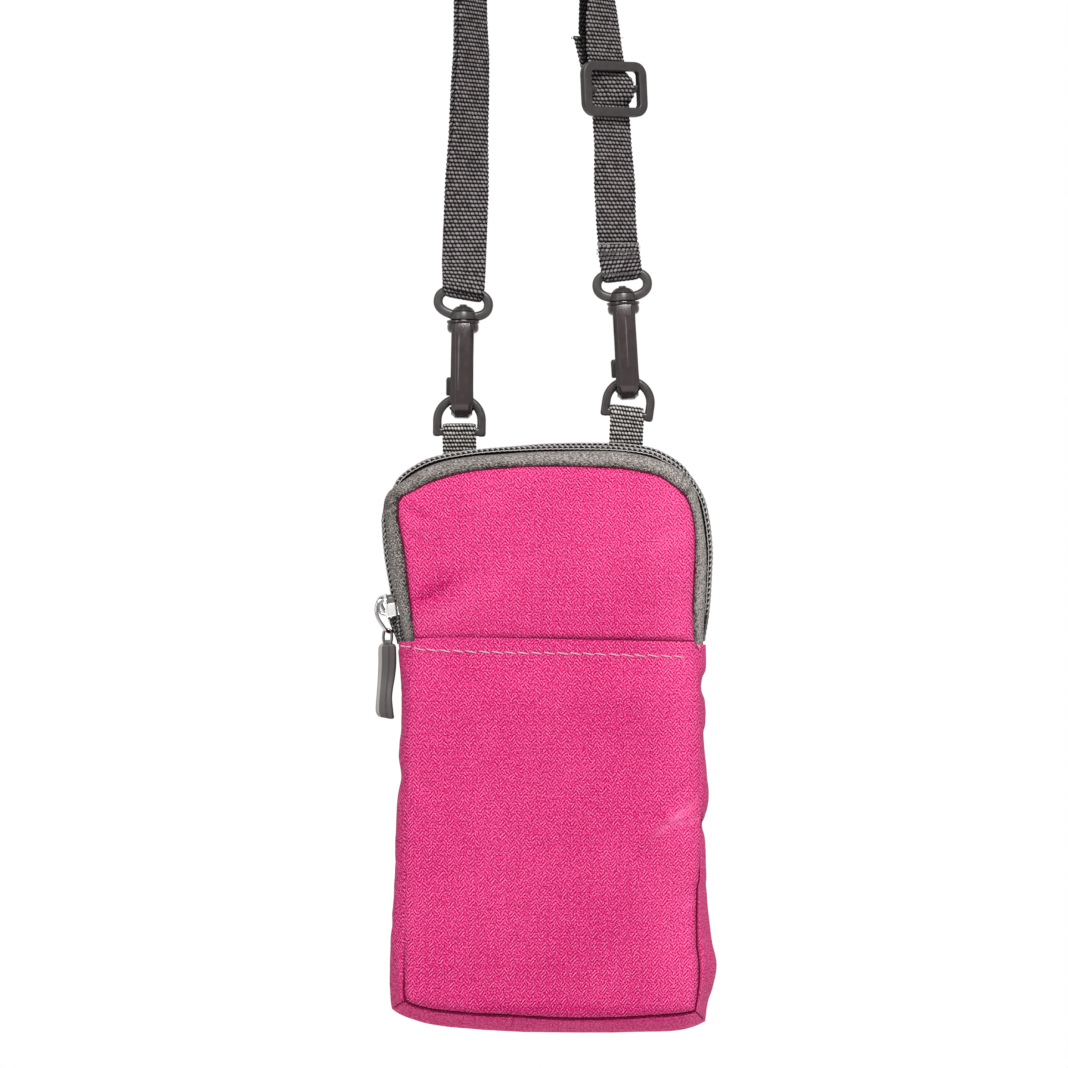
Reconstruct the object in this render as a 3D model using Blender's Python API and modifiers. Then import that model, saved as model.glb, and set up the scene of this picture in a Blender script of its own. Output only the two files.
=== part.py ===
"""Belt pouch hanging from a webbing strap, modelled piece by piece in metres, +Z up, front towards -Y.

The strap loop hangs over a support at the origin. The outlines are readings on a front elevation of the
object: u runs right, v runs down, and one unit is 0.29863 mm at the middle of the depth.
"""
import math

import bmesh
import bpy
from mathutils import Matrix, Vector

MM = 0.001
UNIT = 0.29863 * MM
EYE = 1.25  # distance of the elevation's viewpoint in front of the middle of the depth
TOP_V = -84.0  # the height at which the strap starts to bend over its support
ARCH = 16.0 * MM  # inner radius of that bend

for o in list(bpy.data.objects):
    bpy.data.objects.remove(o, do_unlink=True)
for c in list(bpy.data.collections):
    bpy.data.collections.remove(c)

pouch = bpy.data.collections.new("belt_pouch")
cutters = bpy.data.collections.new("cutters")
bpy.context.scene.collection.children.link(pouch)
bpy.context.scene.collection.children.link(cutters)


# ---------------------------------------------------------------- materials
def material(name, rgb, rough, metal=0.0):
    m = bpy.data.materials.new(name)
    m.use_nodes = True
    b = m.node_tree.nodes["Principled BSDF"]
    b.inputs["Base Color"].default_value = (*rgb, 1.0)
    b.inputs["Roughness"].default_value = rough
    b.inputs["Metallic"].default_value = metal
    m.diffuse_color = (*rgb, 1.0)
    return m


PINK = (0.78, 0.045, 0.22)
GREY = (0.24, 0.23, 0.22)
WEB = (0.075, 0.07, 0.072)
PLASTIC = (0.06, 0.055, 0.055)
COIL = (0.15, 0.14, 0.125)
CHROME = (0.75, 0.75, 0.74)
GUN = (0.12, 0.12, 0.12)
RUBBER = (0.17, 0.16, 0.145)
FOAM = (0.5, 0.49, 0.47)
LINING = (0.11, 0.11, 0.115)


# ---------------------------------------------------------------- helpers
def at(u, v, y=0.0):
    """A reading on the front elevation, brought to depth y."""
    f = (EYE + y) / EYE
    x0 = (534.0 - 535.5) * UNIT
    z0 = -(534.0 - TOP_V) * UNIT - ARCH
    return Vector((x0 + (u - 534.0) * UNIT * f, y, z0 - (v - 534.0) * UNIT * f))


def finish(o, name, look, parent=None):
    o.name = name
    o.data.name = name
    o.data.materials.clear()
    o.data.materials.append(material(name, *look))
    for c in list(o.users_collection):
        c.objects.unlink(o)
    pouch.objects.link(o)
    if parent:
        o.parent = parent
        bpy.context.view_layer.update()
        o.matrix_parent_inverse = parent.matrix_world.inverted()
    return o


def pivot(name, where):
    e = bpy.data.objects.new(name, None)
    e.empty_display_size = 0.006
    e.location = where
    pouch.objects.link(e)
    bpy.context.view_layer.update()
    return e


def from_bmesh(bm):
    bmesh.ops.recalc_face_normals(bm, faces=bm.faces)
    me = bpy.data.meshes.new("piece")
    bm.to_mesh(me)
    bm.free()
    o = bpy.data.objects.new("piece", me)
    bpy.context.scene.collection.objects.link(o)
    return o


def wire(points, radius, cyclic=False, res=2):
    """A round bar along points."""
    c = bpy.data.curves.new("bar", "CURVE")
    c.dimensions = "3D"
    c.bevel_depth = radius
    c.bevel_resolution = res
    c.render_resolution_u = 0
    c.use_fill_caps = not cyclic
    s = c.splines.new("POLY")
    s.points.add(len(points) - 1)
    for p, q in zip(s.points, points):
        p.co = (*q, 1.0)
    s.use_cyclic_u = cyclic
    o = bpy.data.objects.new("bar", c)
    bpy.context.scene.collection.objects.link(o)
    return o


def outline(points, thick):
    """A flat plate: points are (a, b) in its own XY plane, thick across local Z."""
    c = bpy.data.curves.new("plate", "CURVE")
    c.dimensions = "2D"
    c.fill_mode = "BOTH"
    c.extrude = thick / 2
    c.render_resolution_u = 0
    s = c.splines.new("POLY")
    s.points.add(len(points) - 1)
    for p, (a, b) in zip(s.points, points):
        p.co = (a, b, 0, 1)
    s.use_cyclic_u = True
    o = bpy.data.objects.new("plate", c)
    bpy.context.scene.collection.objects.link(o)
    return o


def meshed(o):
    """The curve object as a mesh object, with its caps welded on."""
    bpy.context.view_layer.update()
    deps = bpy.context.evaluated_depsgraph_get()
    me = bpy.data.meshes.new_from_object(o.evaluated_get(deps))
    bm = bmesh.new()
    bm.from_mesh(me)
    bmesh.ops.remove_doubles(bm, verts=bm.verts, dist=1e-6)
    bmesh.ops.recalc_face_normals(bm, faces=bm.faces)
    bm.to_mesh(me)
    bm.free()
    n = bpy.data.objects.new("piece", me)
    n.matrix_world = o.matrix_world.copy()
    bpy.context.scene.collection.objects.link(n)
    bpy.data.objects.remove(o, do_unlink=True)
    return n


def front_plate(points, y0, y1):
    """A plate parallel to the front, its outline in elevation readings, between depths y0 and y1."""
    mid = (y0 + y1) / 2
    flat = [at(u, v, mid) for u, v in points]
    o = outline([(p.x, p.z) for p in flat], y1 - y0)
    o.rotation_euler = (math.pi / 2, 0, 0)
    o.location = (0, mid, 0)
    return meshed(o)


def strip(rows, thick, offset=0.0):
    """A thin sheet over a grid of points, given its thickness by Solidify."""
    bm = bmesh.new()
    grid = [[bm.verts.new(p) for p in row] for row in rows]
    for a, b in zip(grid, grid[1:]):
        for i in range(len(a) - 1):
            bm.faces.new((a[i], a[i + 1], b[i + 1], b[i]))
    me = bpy.data.meshes.new("sheet")
    bm.to_mesh(me)
    bm.free()
    o = bpy.data.objects.new("sheet", me)
    bpy.context.scene.collection.objects.link(o)
    m = o.modifiers.new("thickness", "SOLIDIFY")
    m.thickness = thick
    m.offset = offset
    m.use_even_offset = True
    return o


def cylinder(r, h, where, axis=(0, 0, 1), sides=20):
    bm = bmesh.new()
    bmesh.ops.create_cone(bm, cap_ends=True, segments=sides, radius1=r, radius2=r, depth=h)
    o = from_bmesh(bm)
    o.matrix_world = Matrix.Translation(where) @ Vector((0, 0, 1)).rotation_difference(Vector(axis)).to_matrix().to_4x4()
    return o


def box(low, high):
    bm = bmesh.new()
    bmesh.ops.create_cube(bm, size=1.0)
    for v in bm.verts:
        v.co = Vector(low[i] if v.co[i] < 0 else high[i] for i in range(3))
    return from_bmesh(bm)


def boolean(o, other, how):
    m = o.modifiers.new(how.lower(), "BOOLEAN")
    m.object = other
    m.operation = how
    m.solver = "EXACT"
    for c in list(other.users_collection):
        c.objects.unlink(other)
    cutters.objects.link(other)
    other.hide_render = True
    other.display_type = "WIRE"
    other.hide_viewport = False
    return o


def bevelled(o, width, segments=1, angle=40):
    m = o.modifiers.new("edges", "BEVEL")
    m.width = width
    m.segments = segments
    m.limit_method = "ANGLE"
    m.angle_limit = math.radians(angle)
    m.harden_normals = False
    return o


def inset(points, d):
    """The closed outline moved inwards by d units."""
    n = len(points)
    area = sum(points[i][0] * points[(i + 1) % n][1] - points[(i + 1) % n][0] * points[i][1] for i in range(n))
    s = 1 if area > 0 else -1
    out = []
    for i, (u, v) in enumerate(points):
        (a, b), (c, e) = points[i - 1], points[(i + 1) % n]
        t = Vector((u - a, v - b)).normalized()
        w = Vector((c - u, e - v)).normalized()
        n1, n2 = Vector((-t.y, t.x)) * s, Vector((-w.y, w.x)) * s
        m = n1 + n2
        k = d / max(0.35, (1 + n1.dot(n2)))
        out.append((u + m.x * k, v + m.y * k))
    return out


def smooth(points, steps):
    """Points of a Catmull-Rom curve through points, steps to each span."""
    p = [Vector(q) for q in points]
    out = []
    for i in range(len(p) - 1):
        a = p[i - 1] if i else p[0] * 2 - p[1]
        d = p[i + 2] if i + 2 < len(p) else p[-1] * 2 - p[-2]
        b, c = p[i], p[i + 1]
        for k in range(steps):
            t = k / steps
            out.append(0.5 * (2 * b + (c - a) * t + (2 * a - 5 * b + 4 * c - d) * t * t + (3 * b - 3 * c + d - a) * t**3))
    out.append(p[-1])
    return out


# ---------------------------------------------------------------- depths (y, in metres) of the pouch's layers
BACK_SHIFT = 1.2 * MM


def Y(mm):
    return mm * MM + BACK_SHIFT


ZIP = -3.5  # the middle plane of the zip, in mm of Y()
HINGE_V = 641.0  # height of the fold line between the upper flap and the pocket

# ---------------------------------------------------------------- outlines in elevation readings
SEAM_TOP = [
    (414.7, 636), (411, 620), (408, 581), (404, 553), (398.4, 527), (397.9, 504), (402, 497), (412, 491.5), (426, 484),
    (449, 476), (473, 471), (497, 468), (528, 466), (560, 466), (590, 467), (619, 468), (643, 472), (660, 476),
    (673, 485.5), (685, 496), (690, 507), (694, 524), (695, 541), (694.5, 559), (692.5, 613), (694, 636),
]
SEAM_LOW = [
    (410, 653), (408, 700), (406, 787), (405, 895), (404, 960), (405, 988), (415, 1003), (445, 1011), (500, 1016),
    (553, 1018), (618, 1017), (662, 1014), (687, 1008), (696, 990), (697, 949), (699, 900), (701, 850), (701, 787),
    (699, 700), (697, 653),
]
BULGE_LOW = [
    (401, 653), (401.7, 700), (399, 787), (395.5, 895), (391, 960), (391, 995), (400, 1014), (440, 1024), (500, 1029),
    (553, 1031.3), (618, 1031), (668, 1029), (701, 1020), (713, 996), (715.5, 955), (709, 895), (706, 845), (704.5, 787),
    (705, 700), (705, 653),
]
CREST_LEFT = [(401.0, 640), (384.5, 525)]  # straight: the slider runs here
CREST = [
    (383, 511), (385, 499), (391, 487), (402, 475), (420, 464.5), (442, 456.5), (478, 450.5), (516, 447.5), (560, 446),
    (613, 446.5), (648, 450), (668, 458), (683, 467), (693, 478), (701, 492), (705.5, 507), (708.5, 527), (710.3, 550),
    (709.8, 570), (707.5, 610), (704, 641),
]

# ================================================================ strap (the root: it hangs over the support)
STRAP_T = 1.3 * MM
STRAP_W = 13.0 * MM
HALF_PLY = 1.1 * MM  # from the middle of a doubled run to the middle of either ply
BAR = 1.3 * MM  # radius of the swivel rings' bars
L_RING, R_RING = at(463.5, 290.0), at(621.5, 271.5)
BEND = 16.0 * MM + STRAP_T / 2 + HALF_PLY  # radius of the middle of the doubled strap over the support

left_top = Vector((-BEND, 0, -ARCH))
right_top = Vector((BEND, 0, -ARCH))


def run(top, low, v0, v1, twist, n):
    """Stations down one run: (middle, ply normal, width direction)."""
    out = []
    for i in range(n + 1):
        v = v0 + (v1 - v0) * i / n
        t = (v - TOP_V) / (low[1] - TOP_V)
        mid = top.lerp(at(low[0], low[1]), t)
        a = math.radians(twist(v))
        out.append((mid, Vector((math.sin(a), -math.cos(a), 0)), Vector((math.cos(a), math.sin(a), 0))))
    return out


def steps(*pairs):
    """A smooth ramp through (v, degrees) pairs."""
    def f(v):
        if v <= pairs[0][0]:
            return pairs[0][1]
        for (a, p), (b, q) in zip(pairs, pairs[1:]):
            if v <= b:
                t = (v - a) / (b - a)
                return p + (q - p) * (3 * t * t - 2 * t**3) if p != q else p
        return pairs[-1][1]
    return f


left_twist = steps((-84, 90), (0, 52), (120, 38), (250, 0))
right_twist = steps((-84, 90), (10, 30), (140, 30), (235, 0))
left_run = run(left_top, (464.0, 262), TOP_V, 262, left_twist, 32)
right_run = run(right_top, (617.5, 242), TOP_V, 242, right_twist, 32)


def ply(stations, side, reach=HALF_PLY):
    """One ply of a run: side +1 is the ply whose face turns to the front and then to +X."""
    return [(m + n * side * reach, w) for m, n, w in stations]


def fold(bar, front_first, tilt, n=10):
    """Round a bar that lies along X, from the front ply to the rear one or back."""
    r = BAR + 0.38 * MM + STRAP_T / 2
    lie = Vector((math.cos(math.radians(tilt)), 0, math.sin(math.radians(tilt))))
    out = []
    for i in range(n + 1):
        a = math.radians(180 + 180 * i / n)
        p = bar + Vector((0, math.cos(a) * r, math.sin(a) * r))
        out.append((p, lie * (0.70 + 0.24 * math.cos(a) ** 2)))  # drawn in between the ring's sides
    return out if front_first else out[::-1]


def arch(radius, left_to_right):
    out = []
    for i in range(0, 15):
        a = math.pi - math.pi * i / 14
        out.append((Vector((math.cos(a) * radius, 0, -ARCH + math.sin(a) * radius)), Vector((0, 1, 0))))
    return out if left_to_right else out[::-1]


def ribbon(path, width, thick):
    rows = [[c + w * (width / 2 * k) for k in (-1.0, -0.34, 0.34, 1.0)] for c, w in path]
    return strip(rows, thick)


# The left end: the rear ply comes down, turns round the left ring and goes up as the front ply. Over the support
# the rear ply of the left run is the outer one, and it goes down the right run as the front ply.
left_front = ply(left_run, +1)
left_rear = ply(left_run, -1)
right_front = ply(right_run, +1)
right_tail = ply(right_run[:9], -1)  # down to about v = -2
right_fold = fold(R_RING, True, 3.0)
short_end = [
    (at(618.5, 247, 0) + Vector((0, -2.05 * MM, 0)), Vector((1, 0, 0))),
    (at(620.0, 259, 0) + Vector((0, -2.25 * MM, 0)), Vector((1, 0, 0))),
]
long_in = [(at(619.0, 256, 0) + Vector((0, 1.4 * MM, 0)), Vector((1, 0, 0)))]
path = (
    short_end + right_fold + long_in[:1]
    + [(at(618.2, 247, 0) + Vector((0, -0.1 * MM, 0)), Vector((1, 0, 0)))]
    + right_front[::-1][1:-1] + arch(BEND + HALF_PLY, False) + left_rear[1:] + fold(L_RING, False, -0.8)
    + left_front[::-1][:-1] + arch(BEND - HALF_PLY, True)
)
strap = ribbon(path, STRAP_W, STRAP_T)
finish(strap, "strap_webbing", (WEB, 0.85))

# ================================================================ tri-glide and the sewn strap end
GLIDE_V = 89.5
glide_mid, glide_n, glide_w = [s for s in run(right_top, (617.5, 242), GLIDE_V, GLIDE_V + 1, right_twist, 1)][0]
down = (at(617.5, 242) - right_top).normalized()
glide_at = glide_mid + glide_n * HALF_PLY  # the middle of the front ply
glide = pivot("triglide_pivot", glide_at)
gx = glide_w
gn = gx.cross(down).normalized()
if gn.dot(glide_n) < 0:
    gn = -gn
gx = down.cross(gn).normalized()
if gx.dot(glide_w) < 0:
    gx = -gx
G = Matrix((gx, gn, -down)).transposed().to_4x4()
G.translation = glide_at


def g(a, n, s):
    """Tri-glide coordinates in mm: a across, n out of the front, s up the run."""
    return G @ Vector((a * MM, n * MM, s * MM))


def rounded(hx, hz, r, n=4):
    pts = []
    for cx, cz, a0 in ((hx - r, hz - r, 0), (-(hx - r), hz - r, 90), (-(hx - r), -(hz - r), 180), (hx - r, -(hz - r), 270)):
        for i in range(n + 1):
            a = math.radians(a0 + 90 * i / n)
            pts.append((cx + r * math.cos(a), cz + r * math.sin(a)))
    return pts


# The ply runs straight. The frame's bars pass in front of it and the crossbar behind it, as they do round
# a ply that weaves through.
BAR_G = 1.25
frame = meshed(wire([g(a, 2.3, s) for a, s in rounded(9.9, 6.9, 2.4)], BAR_G * MM, True))
side_l = meshed(wire([g(-9.9, 2.3, 0), g(-9.9, -1.0, 0), g(-8.6, -2.35, 0), g(8.6, -2.35, 0), g(9.9, -1.0, 0), g(9.9, 2.3, 0)], 1.15 * MM))
boolean(frame, side_l, "UNION")
finish(frame, "triglide", (PLASTIC, 0.4), glide)

# ================================================================ swivel rings, hooks, gates and D-rings
LINK = 32.7  # from the middle of a ring's top bar to the middle of the D-ring's top, in mm


def chain(side, ring_at, tilt):
    """One end of the strap: ring, hook, gate and D-ring. tilt leans the foot of the chain to +X, in degrees."""
    R = Matrix.Translation(ring_at) @ Matrix.Rotation(math.radians(-tilt), 4, "Y")

    def p(x, y, z):
        return R @ Vector((x * MM, y * MM, z * MM))

    down_ = (p(0, 0, -1) - p(0, 0, 0)).normalized()
    ring_pivot = pivot(side + "_ring_pivot", ring_at)
    hook_pivot = pivot(side + "_hook_pivot", p(0, 0, -9))
    gate_pivot = pivot(side + "_gate_pivot", p(0, 4.7, -LINK + 10.8))
    dring_pivot = pivot(side + "_dring_pivot", p(0, 0, -LINK))
    # ring: an oval loop with a bored boss in its lower bar
    pts = []
    for i in range(28):
        a = 2 * math.pi * i / 28 + math.pi / 2
        c, s = math.cos(a), math.sin(a)
        e = 0.58
        pts.append(p(7.4 * math.copysign(abs(c) ** e, c), 0, -3.93 + 3.93 * math.copysign(abs(s) ** e, s)))
    ring = meshed(wire(pts, BAR, True))
    boss = cylinder(3.0 * MM, 2.3 * MM, p(0, 0, -7.75), down_)
    bore = cylinder(1.8 * MM, 6 * MM, p(0, 0, -7.75), down_)
    boolean(ring, boss, "UNION")
    boolean(ring, bore, "DIFFERENCE")
    finish(ring, side + "_swivel_ring", (PLASTIC, 0.4), ring_pivot)
    # hook: swivel knob and pin, collar, and the J below it
    k = -LINK
    j = [
        (-5.0, 13.6), (-5.0, 19.3), (5.0, 19.3), (5.6, 15.5), (5.6, 12.4), (-3.3, 12.4), (-3.5, 10.5), (-3.5, -0.8), (-2.6, -2.4),
        (-0.9, -3.0), (0.9, -3.0), (2.6, -2.4), (3.5, -0.8), (3.6, 1.9), (6.1, 1.9), (6.2, -1.2), (4.6, -4.0), (2.0, -5.6), (-2.0, -5.6),
        (-4.6, -4.0), (-6.2, -1.2), (-6.2, 11.0),
    ]
    body = outline([(a * MM, b * MM) for a, b in j], 6.9 * MM)
    body.matrix_world = R @ Matrix.Translation((0, 0, k * MM)) @ Matrix(((0, 0, 1, 0), (1, 0, 0, 0), (0, 1, 0, 0), (0, 0, 0, 1)))
    body = meshed(body)
    bevelled(body, 0.5 * MM, 1, 50)
    profile = [(0, -4.4), (3.2, -4.4), (3.7, -4.9), (3.7, -5.75), (3.1, -6.25), (1.4, -6.25), (1.4, -9.25), (4.9, -9.25), (5.25, -9.65), (5.25, -13.0), (4.6, -13.7), (0, -13.7)]
    bm = bmesh.new()
    vs = [bm.verts.new((r * MM, 0, z * MM)) for r, z in profile]
    for a, b in zip(vs, vs[1:]):
        bm.edges.new((a, b))
    me = bpy.data.meshes.new("turned")
    bm.to_mesh(me)
    bm.free()
    turned = bpy.data.objects.new("turned", me)
    bpy.context.scene.collection.objects.link(turned)
    turned.matrix_world = R
    m = turned.modifiers.new("turn", "SCREW")
    m.steps = m.render_steps = 20
    m.use_merge_vertices = True
    m.merge_threshold = 0.00001
    m.use_normal_calculate = True
    turned = meshed(turned)
    boolean(body, turned, "UNION")
    finish(body, side + "_hook_body", (PLASTIC, 0.38), hook_pivot)
    # gate with its thumb lever on the left
    gp = [(3.7, 2.3), (5.8, 2.3), (5.8, 11.0), (5.2, 11.9), (4.2, 11.9), (3.7, 11.0)]
    gate = outline([(a * MM, b * MM) for a, b in gp], 5.4 * MM)
    gate.matrix_world = R @ Matrix.Translation((0, 0, k * MM)) @ Matrix(((0, 0, 1, 0), (1, 0, 0, 0), (0, 1, 0, 0), (0, 0, 0, 1)))
    gate = meshed(gate)
    lever = box((-5.1 * MM, 3.9 * MM, (k + 3.0) * MM), (-2.0 * MM, 5.6 * MM, (k + 6.6) * MM))
    lever.matrix_world = R @ lever.matrix_world
    boolean(gate, lever, "UNION")
    finish(gate, side + "_hook_gate", (PLASTIC, 0.38), gate_pivot)
    # D-ring: round shoulders above, square feet below
    d = []
    for i in range(13):
        a = math.pi - math.pi * i / 12
        d.append(p(6.6 * math.cos(a), 0, k - 6.6 + 6.6 * math.sin(a)))
    d += [p(6.6, 0, k - 10.0), p(-6.6, 0, k - 10.0)]
    dring = meshed(wire(d, 1.2 * MM, True))
    finish(dring, side + "_d_ring", (PLASTIC, 0.4), dring_pivot)
    return p(0, 0, k - 10.0), down_


left_foot, left_down = chain("left", L_RING, -0.8)
right_foot, right_down = chain("right", R_RING, 3.0)

# The strap's end goes behind the tri-glide's crossbar and is sewn round it. It stretches as the tri-glide slides.
tail_path = [(g(0, n, s), gx) for n, s in ((-4.6, 7.5), (-4.75, 3.0), (-4.6, 0.6), (-4.2, -1.0), (-3.4, -2.0), (-2.35, -2.35))]
tail_start = [(Vector((BEND - HALF_PLY, 0, -ARCH - 0.9 * MM)), Vector((0, 1, 0)))]
tail_node = ribbon(tail_start + right_tail[1:] + tail_path, STRAP_W - 0.6 * MM, 1.2 * MM)
finish(tail_node, "strap_sewn_end", (WEB, 0.85), glide)

# ================================================================ the pouch: fabric body below, flap above
low_panel = [(u, v) for u, v in SEAM_LOW]


def low_outline(gap_units, top_v):
    pts = inset(low_panel + [], gap_units)
    pts = [(u, max(v, top_v)) for u, v in pts]
    pts[0] = (pts[0][0], top_v)
    pts[-1] = (pts[-1][0], top_v)
    return pts


finish(front_plate(low_outline(0.0, 639.5), Y(-19.7), Y(-18.5)), "pocket_panel", (PINK, 0.8))
inner = low_outline(6.0, HINGE_V + 1.8)
finish(front_plate(inner, Y(-13.5), Y(-12.3)), "front_panel_lower", (PINK, 0.8))
finish(front_plate(low_outline(7.0, HINGE_V + 3.5), Y(-12.0), Y(-10.5)), "front_padding_lower", (FOAM, 0.9))
finish(front_plate(low_outline(7.0, HINGE_V + 3.5), Y(-10.2), Y(-9.6)), "front_lining_lower", (LINING, 0.8))

# back panel: one piece from top to bottom, inside the back seam
BACK = (
    [(406, 640), (402, 600), (398, 560), (394, 520), (394, 502), (400, 492), (414, 483), (440, 473), (473, 467), (528, 463), (580, 463), (630, 466), (662, 473), (680, 483), (693, 500), (699, 522), (700.5, 550), (699, 600), (697, 645)]
    + [(699, 700), (701, 787), (701, 850), (699, 900), (697, 949), (696, 990), (687, 1008), (662, 1014), (618, 1017), (553, 1018), (500, 1016), (445, 1011), (415, 1003), (405, 988), (404, 960), (405, 895), (406, 787), (407, 700)]
)
finish(front_plate(BACK, Y(12.3), Y(13.5)), "back_panel", (PINK, 0.8))
finish(front_plate(inset(BACK, 8.0), Y(10.5), Y(12.0)), "back_padding", (FOAM, 0.9))
finish(front_plate(inset(BACK, 8.0), Y(9.6), Y(10.2)), "back_lining", (LINING, 0.8))


# gusset: the side and bottom wall of the lower body
def wall(front, middle, back, y_front, y_mid, y_back, k=1):
    rows = []
    n = len(front)
    for i in range(n):
        f, m, b = front[i], middle[i], back[i]
        row = []
        for t in (0.0, 0.3, 0.62, 1.0):
            # a quarter-ellipse swell from the front seam to the widest line
            c = math.sin(t * math.pi / 2)
            row.append(at(f[0] + (m[0] - f[0]) * c, f[1] + (m[1] - f[1]) * c, y_front + (y_mid - y_front) * t))
        for t in (0.45, 0.8, 1.0):
            c = 1 - math.cos(t * math.pi / 2)
            row.append(at(m[0] + (b[0] - m[0]) * c, m[1] + (b[1] - m[1]) * c, y_mid + (y_back - y_mid) * t))
        rows.append(row)
    return rows


finish(strip(wall(inset(SEAM_LOW, 0.0), BULGE_LOW, SEAM_LOW, Y(-18.1), Y(-4.0), Y(11.9)), 1.1 * MM), "gusset", (PINK, 0.8))

# zip tapes: the grey walls of the upper part, from the seams up to the coils
crest_left = [(401.0 + (384.5 - 401.0) * t, 640 + (525 - 640) * t) for t in (0, 0.2, 0.4, 0.6, 0.8, 1.0)]
crest_full = crest_left + CREST


def matched(points, n):
    """n points spaced evenly along an open outline."""
    p = [Vector(q) for q in points]
    d = [0.0]
    for a, b in zip(p, p[1:]):
        d.append(d[-1] + (b - a).length)
    out = []
    for i in range(n):
        s = d[-1] * i / (n - 1)
        j = max(0, min(len(d) - 2, next((k for k in range(len(d) - 1) if d[k + 1] >= s - 1e-9), len(d) - 2)))
        t = (s - d[j]) / max(1e-9, d[j + 1] - d[j])
        out.append(tuple(p[j].lerp(p[j + 1], t)))
    return out


N = 40
crest_n = matched(crest_full, N)
seam_n = matched(SEAM_TOP, N)
BACK_TOP = [(406, 637), (402, 600), (398, 560), (394, 520), (394, 502), (400, 492), (414, 483), (440, 473), (473, 467), (528, 463), (580, 463), (630, 466), (662, 473), (680, 483), (693, 500), (699, 522), (700.5, 550), (699, 600), (697, 641)]
back_n = matched(BACK_TOP, N)


def tape(low_line, y_low, y_high):
    rows = []
    for (a, b), (c, e) in zip(low_line, crest_n):
        row = []
        for t in (0, 0.25, 0.5, 0.75, 1.0):
            w = math.sin(t * math.pi / 2)
            row.append(at(a + (c - a) * w, b + (e - b) * w, y_low + (y_high - y_low) * t))
        rows.append(row)
    return rows


flap_pivot = pivot("flap_pivot", Vector((at(553, HINGE_V, Y(-12.9)).x, Y(-12.9), at(553, HINGE_V, Y(-12.9)).z)))
finish(strip(tape(seam_n, Y(-12.0), Y(ZIP - 3.4)), 0.8 * MM), "zip_tape_front", (GREY, 0.8), flap_pivot)
finish(strip(tape(back_n, Y(11.6), Y(ZIP + 3.4)), 0.8 * MM), "zip_tape_rear", (GREY, 0.8))
coil_line = [(u, v) for u, v in matched(crest_full, 60)]
finish(wire([at(u, v, Y(ZIP - 1.9)) for u, v in coil_line], 1.1 * MM), "zip_coil_front", (COIL, 0.5), flap_pivot)
finish(wire([at(u, v, Y(ZIP + 1.9)) for u, v in coil_line], 1.1 * MM), "zip_coil_rear", (COIL, 0.5))

upper = SEAM_TOP[:]
finish(front_plate(inset(upper, 0.0), Y(-13.6), Y(-12.7)), "front_panel_upper", (PINK, 0.8), flap_pivot)
pad_up = [(u, v) for u, v in inset(upper, 8.0)]
pad_up[0] = (pad_up[0][0], 632)
pad_up[-1] = (pad_up[-1][0], 632)
finish(front_plate(pad_up, Y(-12.3), Y(-10.6)), "front_padding_upper", (FOAM, 0.9), flap_pivot)
finish(front_plate(pad_up, Y(-10.2), Y(-9.6)), "front_lining_upper", (LINING, 0.8), flap_pivot)

# end stops of the zip
for name, (u, v) in (("zip_stop_left", (401.8, 645.6)), ("zip_stop_right", (703.6, 646.2))):
    c = at(u, v, Y(ZIP))
    o = box(c - Vector((0.9 * MM, 2.6 * MM, 0.9 * MM)), c + Vector((0.9 * MM, 2.6 * MM, 0.9 * MM)))
    finish(o, name, (GUN, 0.4, 0.8))

# ================================================================ slider, bail and pull tab
axis_low, axis_high = at(*CREST_LEFT[0], Y(ZIP)), at(*CREST_LEFT[1], Y(ZIP))
along = (axis_high - axis_low).normalized()
SLIDER_V = 607.5
slider_at = axis_low.lerp(axis_high, (640 - SLIDER_V) / 115.0)
out_x = Vector((along.z, 0, -along.x)) * -1.0  # out of the left side
S = Matrix((Vector((0, 1, 0)), out_x, along)).transposed().to_4x4()
S.translation = slider_at
slider_pivot = pivot("slider_pivot", slider_at)


def sl(w, n, s):
    """Slider coordinates in mm: w towards the back, n out of the left side, s up the zip."""
    return S @ Vector((w * MM, n * MM, s * MM))


face = [(-2.0, -4.6), (2.0, -4.6), (2.5, -4.0), (3.6, 1.2), (3.7, 3.2), (2.6, 4.2), (0.7, 4.5), (-0.7, 4.5), (-2.6, 4.2), (-3.7, 3.2), (-3.6, 1.2), (-2.5, -4.0)]


def plate_at(n):
    o = outline([(w * MM, s * MM) for w, s in face], 1.0 * MM)
    o.matrix_world = S @ Matrix(((1, 0, 0, 0), (0, 0, 1, n * MM), (0, 1, 0, 0), (0, 0, 0, 1)))
    return meshed(o)


outer = plate_at(2.2)
inner_plate = plate_at(-2.2)
bm = bmesh.new()
bmesh.ops.create_cube(bm, size=1.0)
for vtx in bm.verts:
    w, n, s = vtx.co.x, vtx.co.y, vtx.co.z
    vtx.co = sl(w * 1.0, n * 4.4, 0.6 + s * 5.4)
post = from_bmesh(bm)
crown = meshed(wire([sl(0, 2.2, 3.4), sl(0, 4.0, 3.1), sl(0, 4.9, 2.0), sl(0, 4.9, -0.6), sl(0, 4.0, -1.8), sl(0, 2.2, -2.2)], 0.6 * MM))
for other in (inner_plate, post, crown):
    boolean(outer, other, "UNION")
finish(outer, "slider_body", (CHROME, 0.2, 1.0), slider_pivot)

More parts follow.
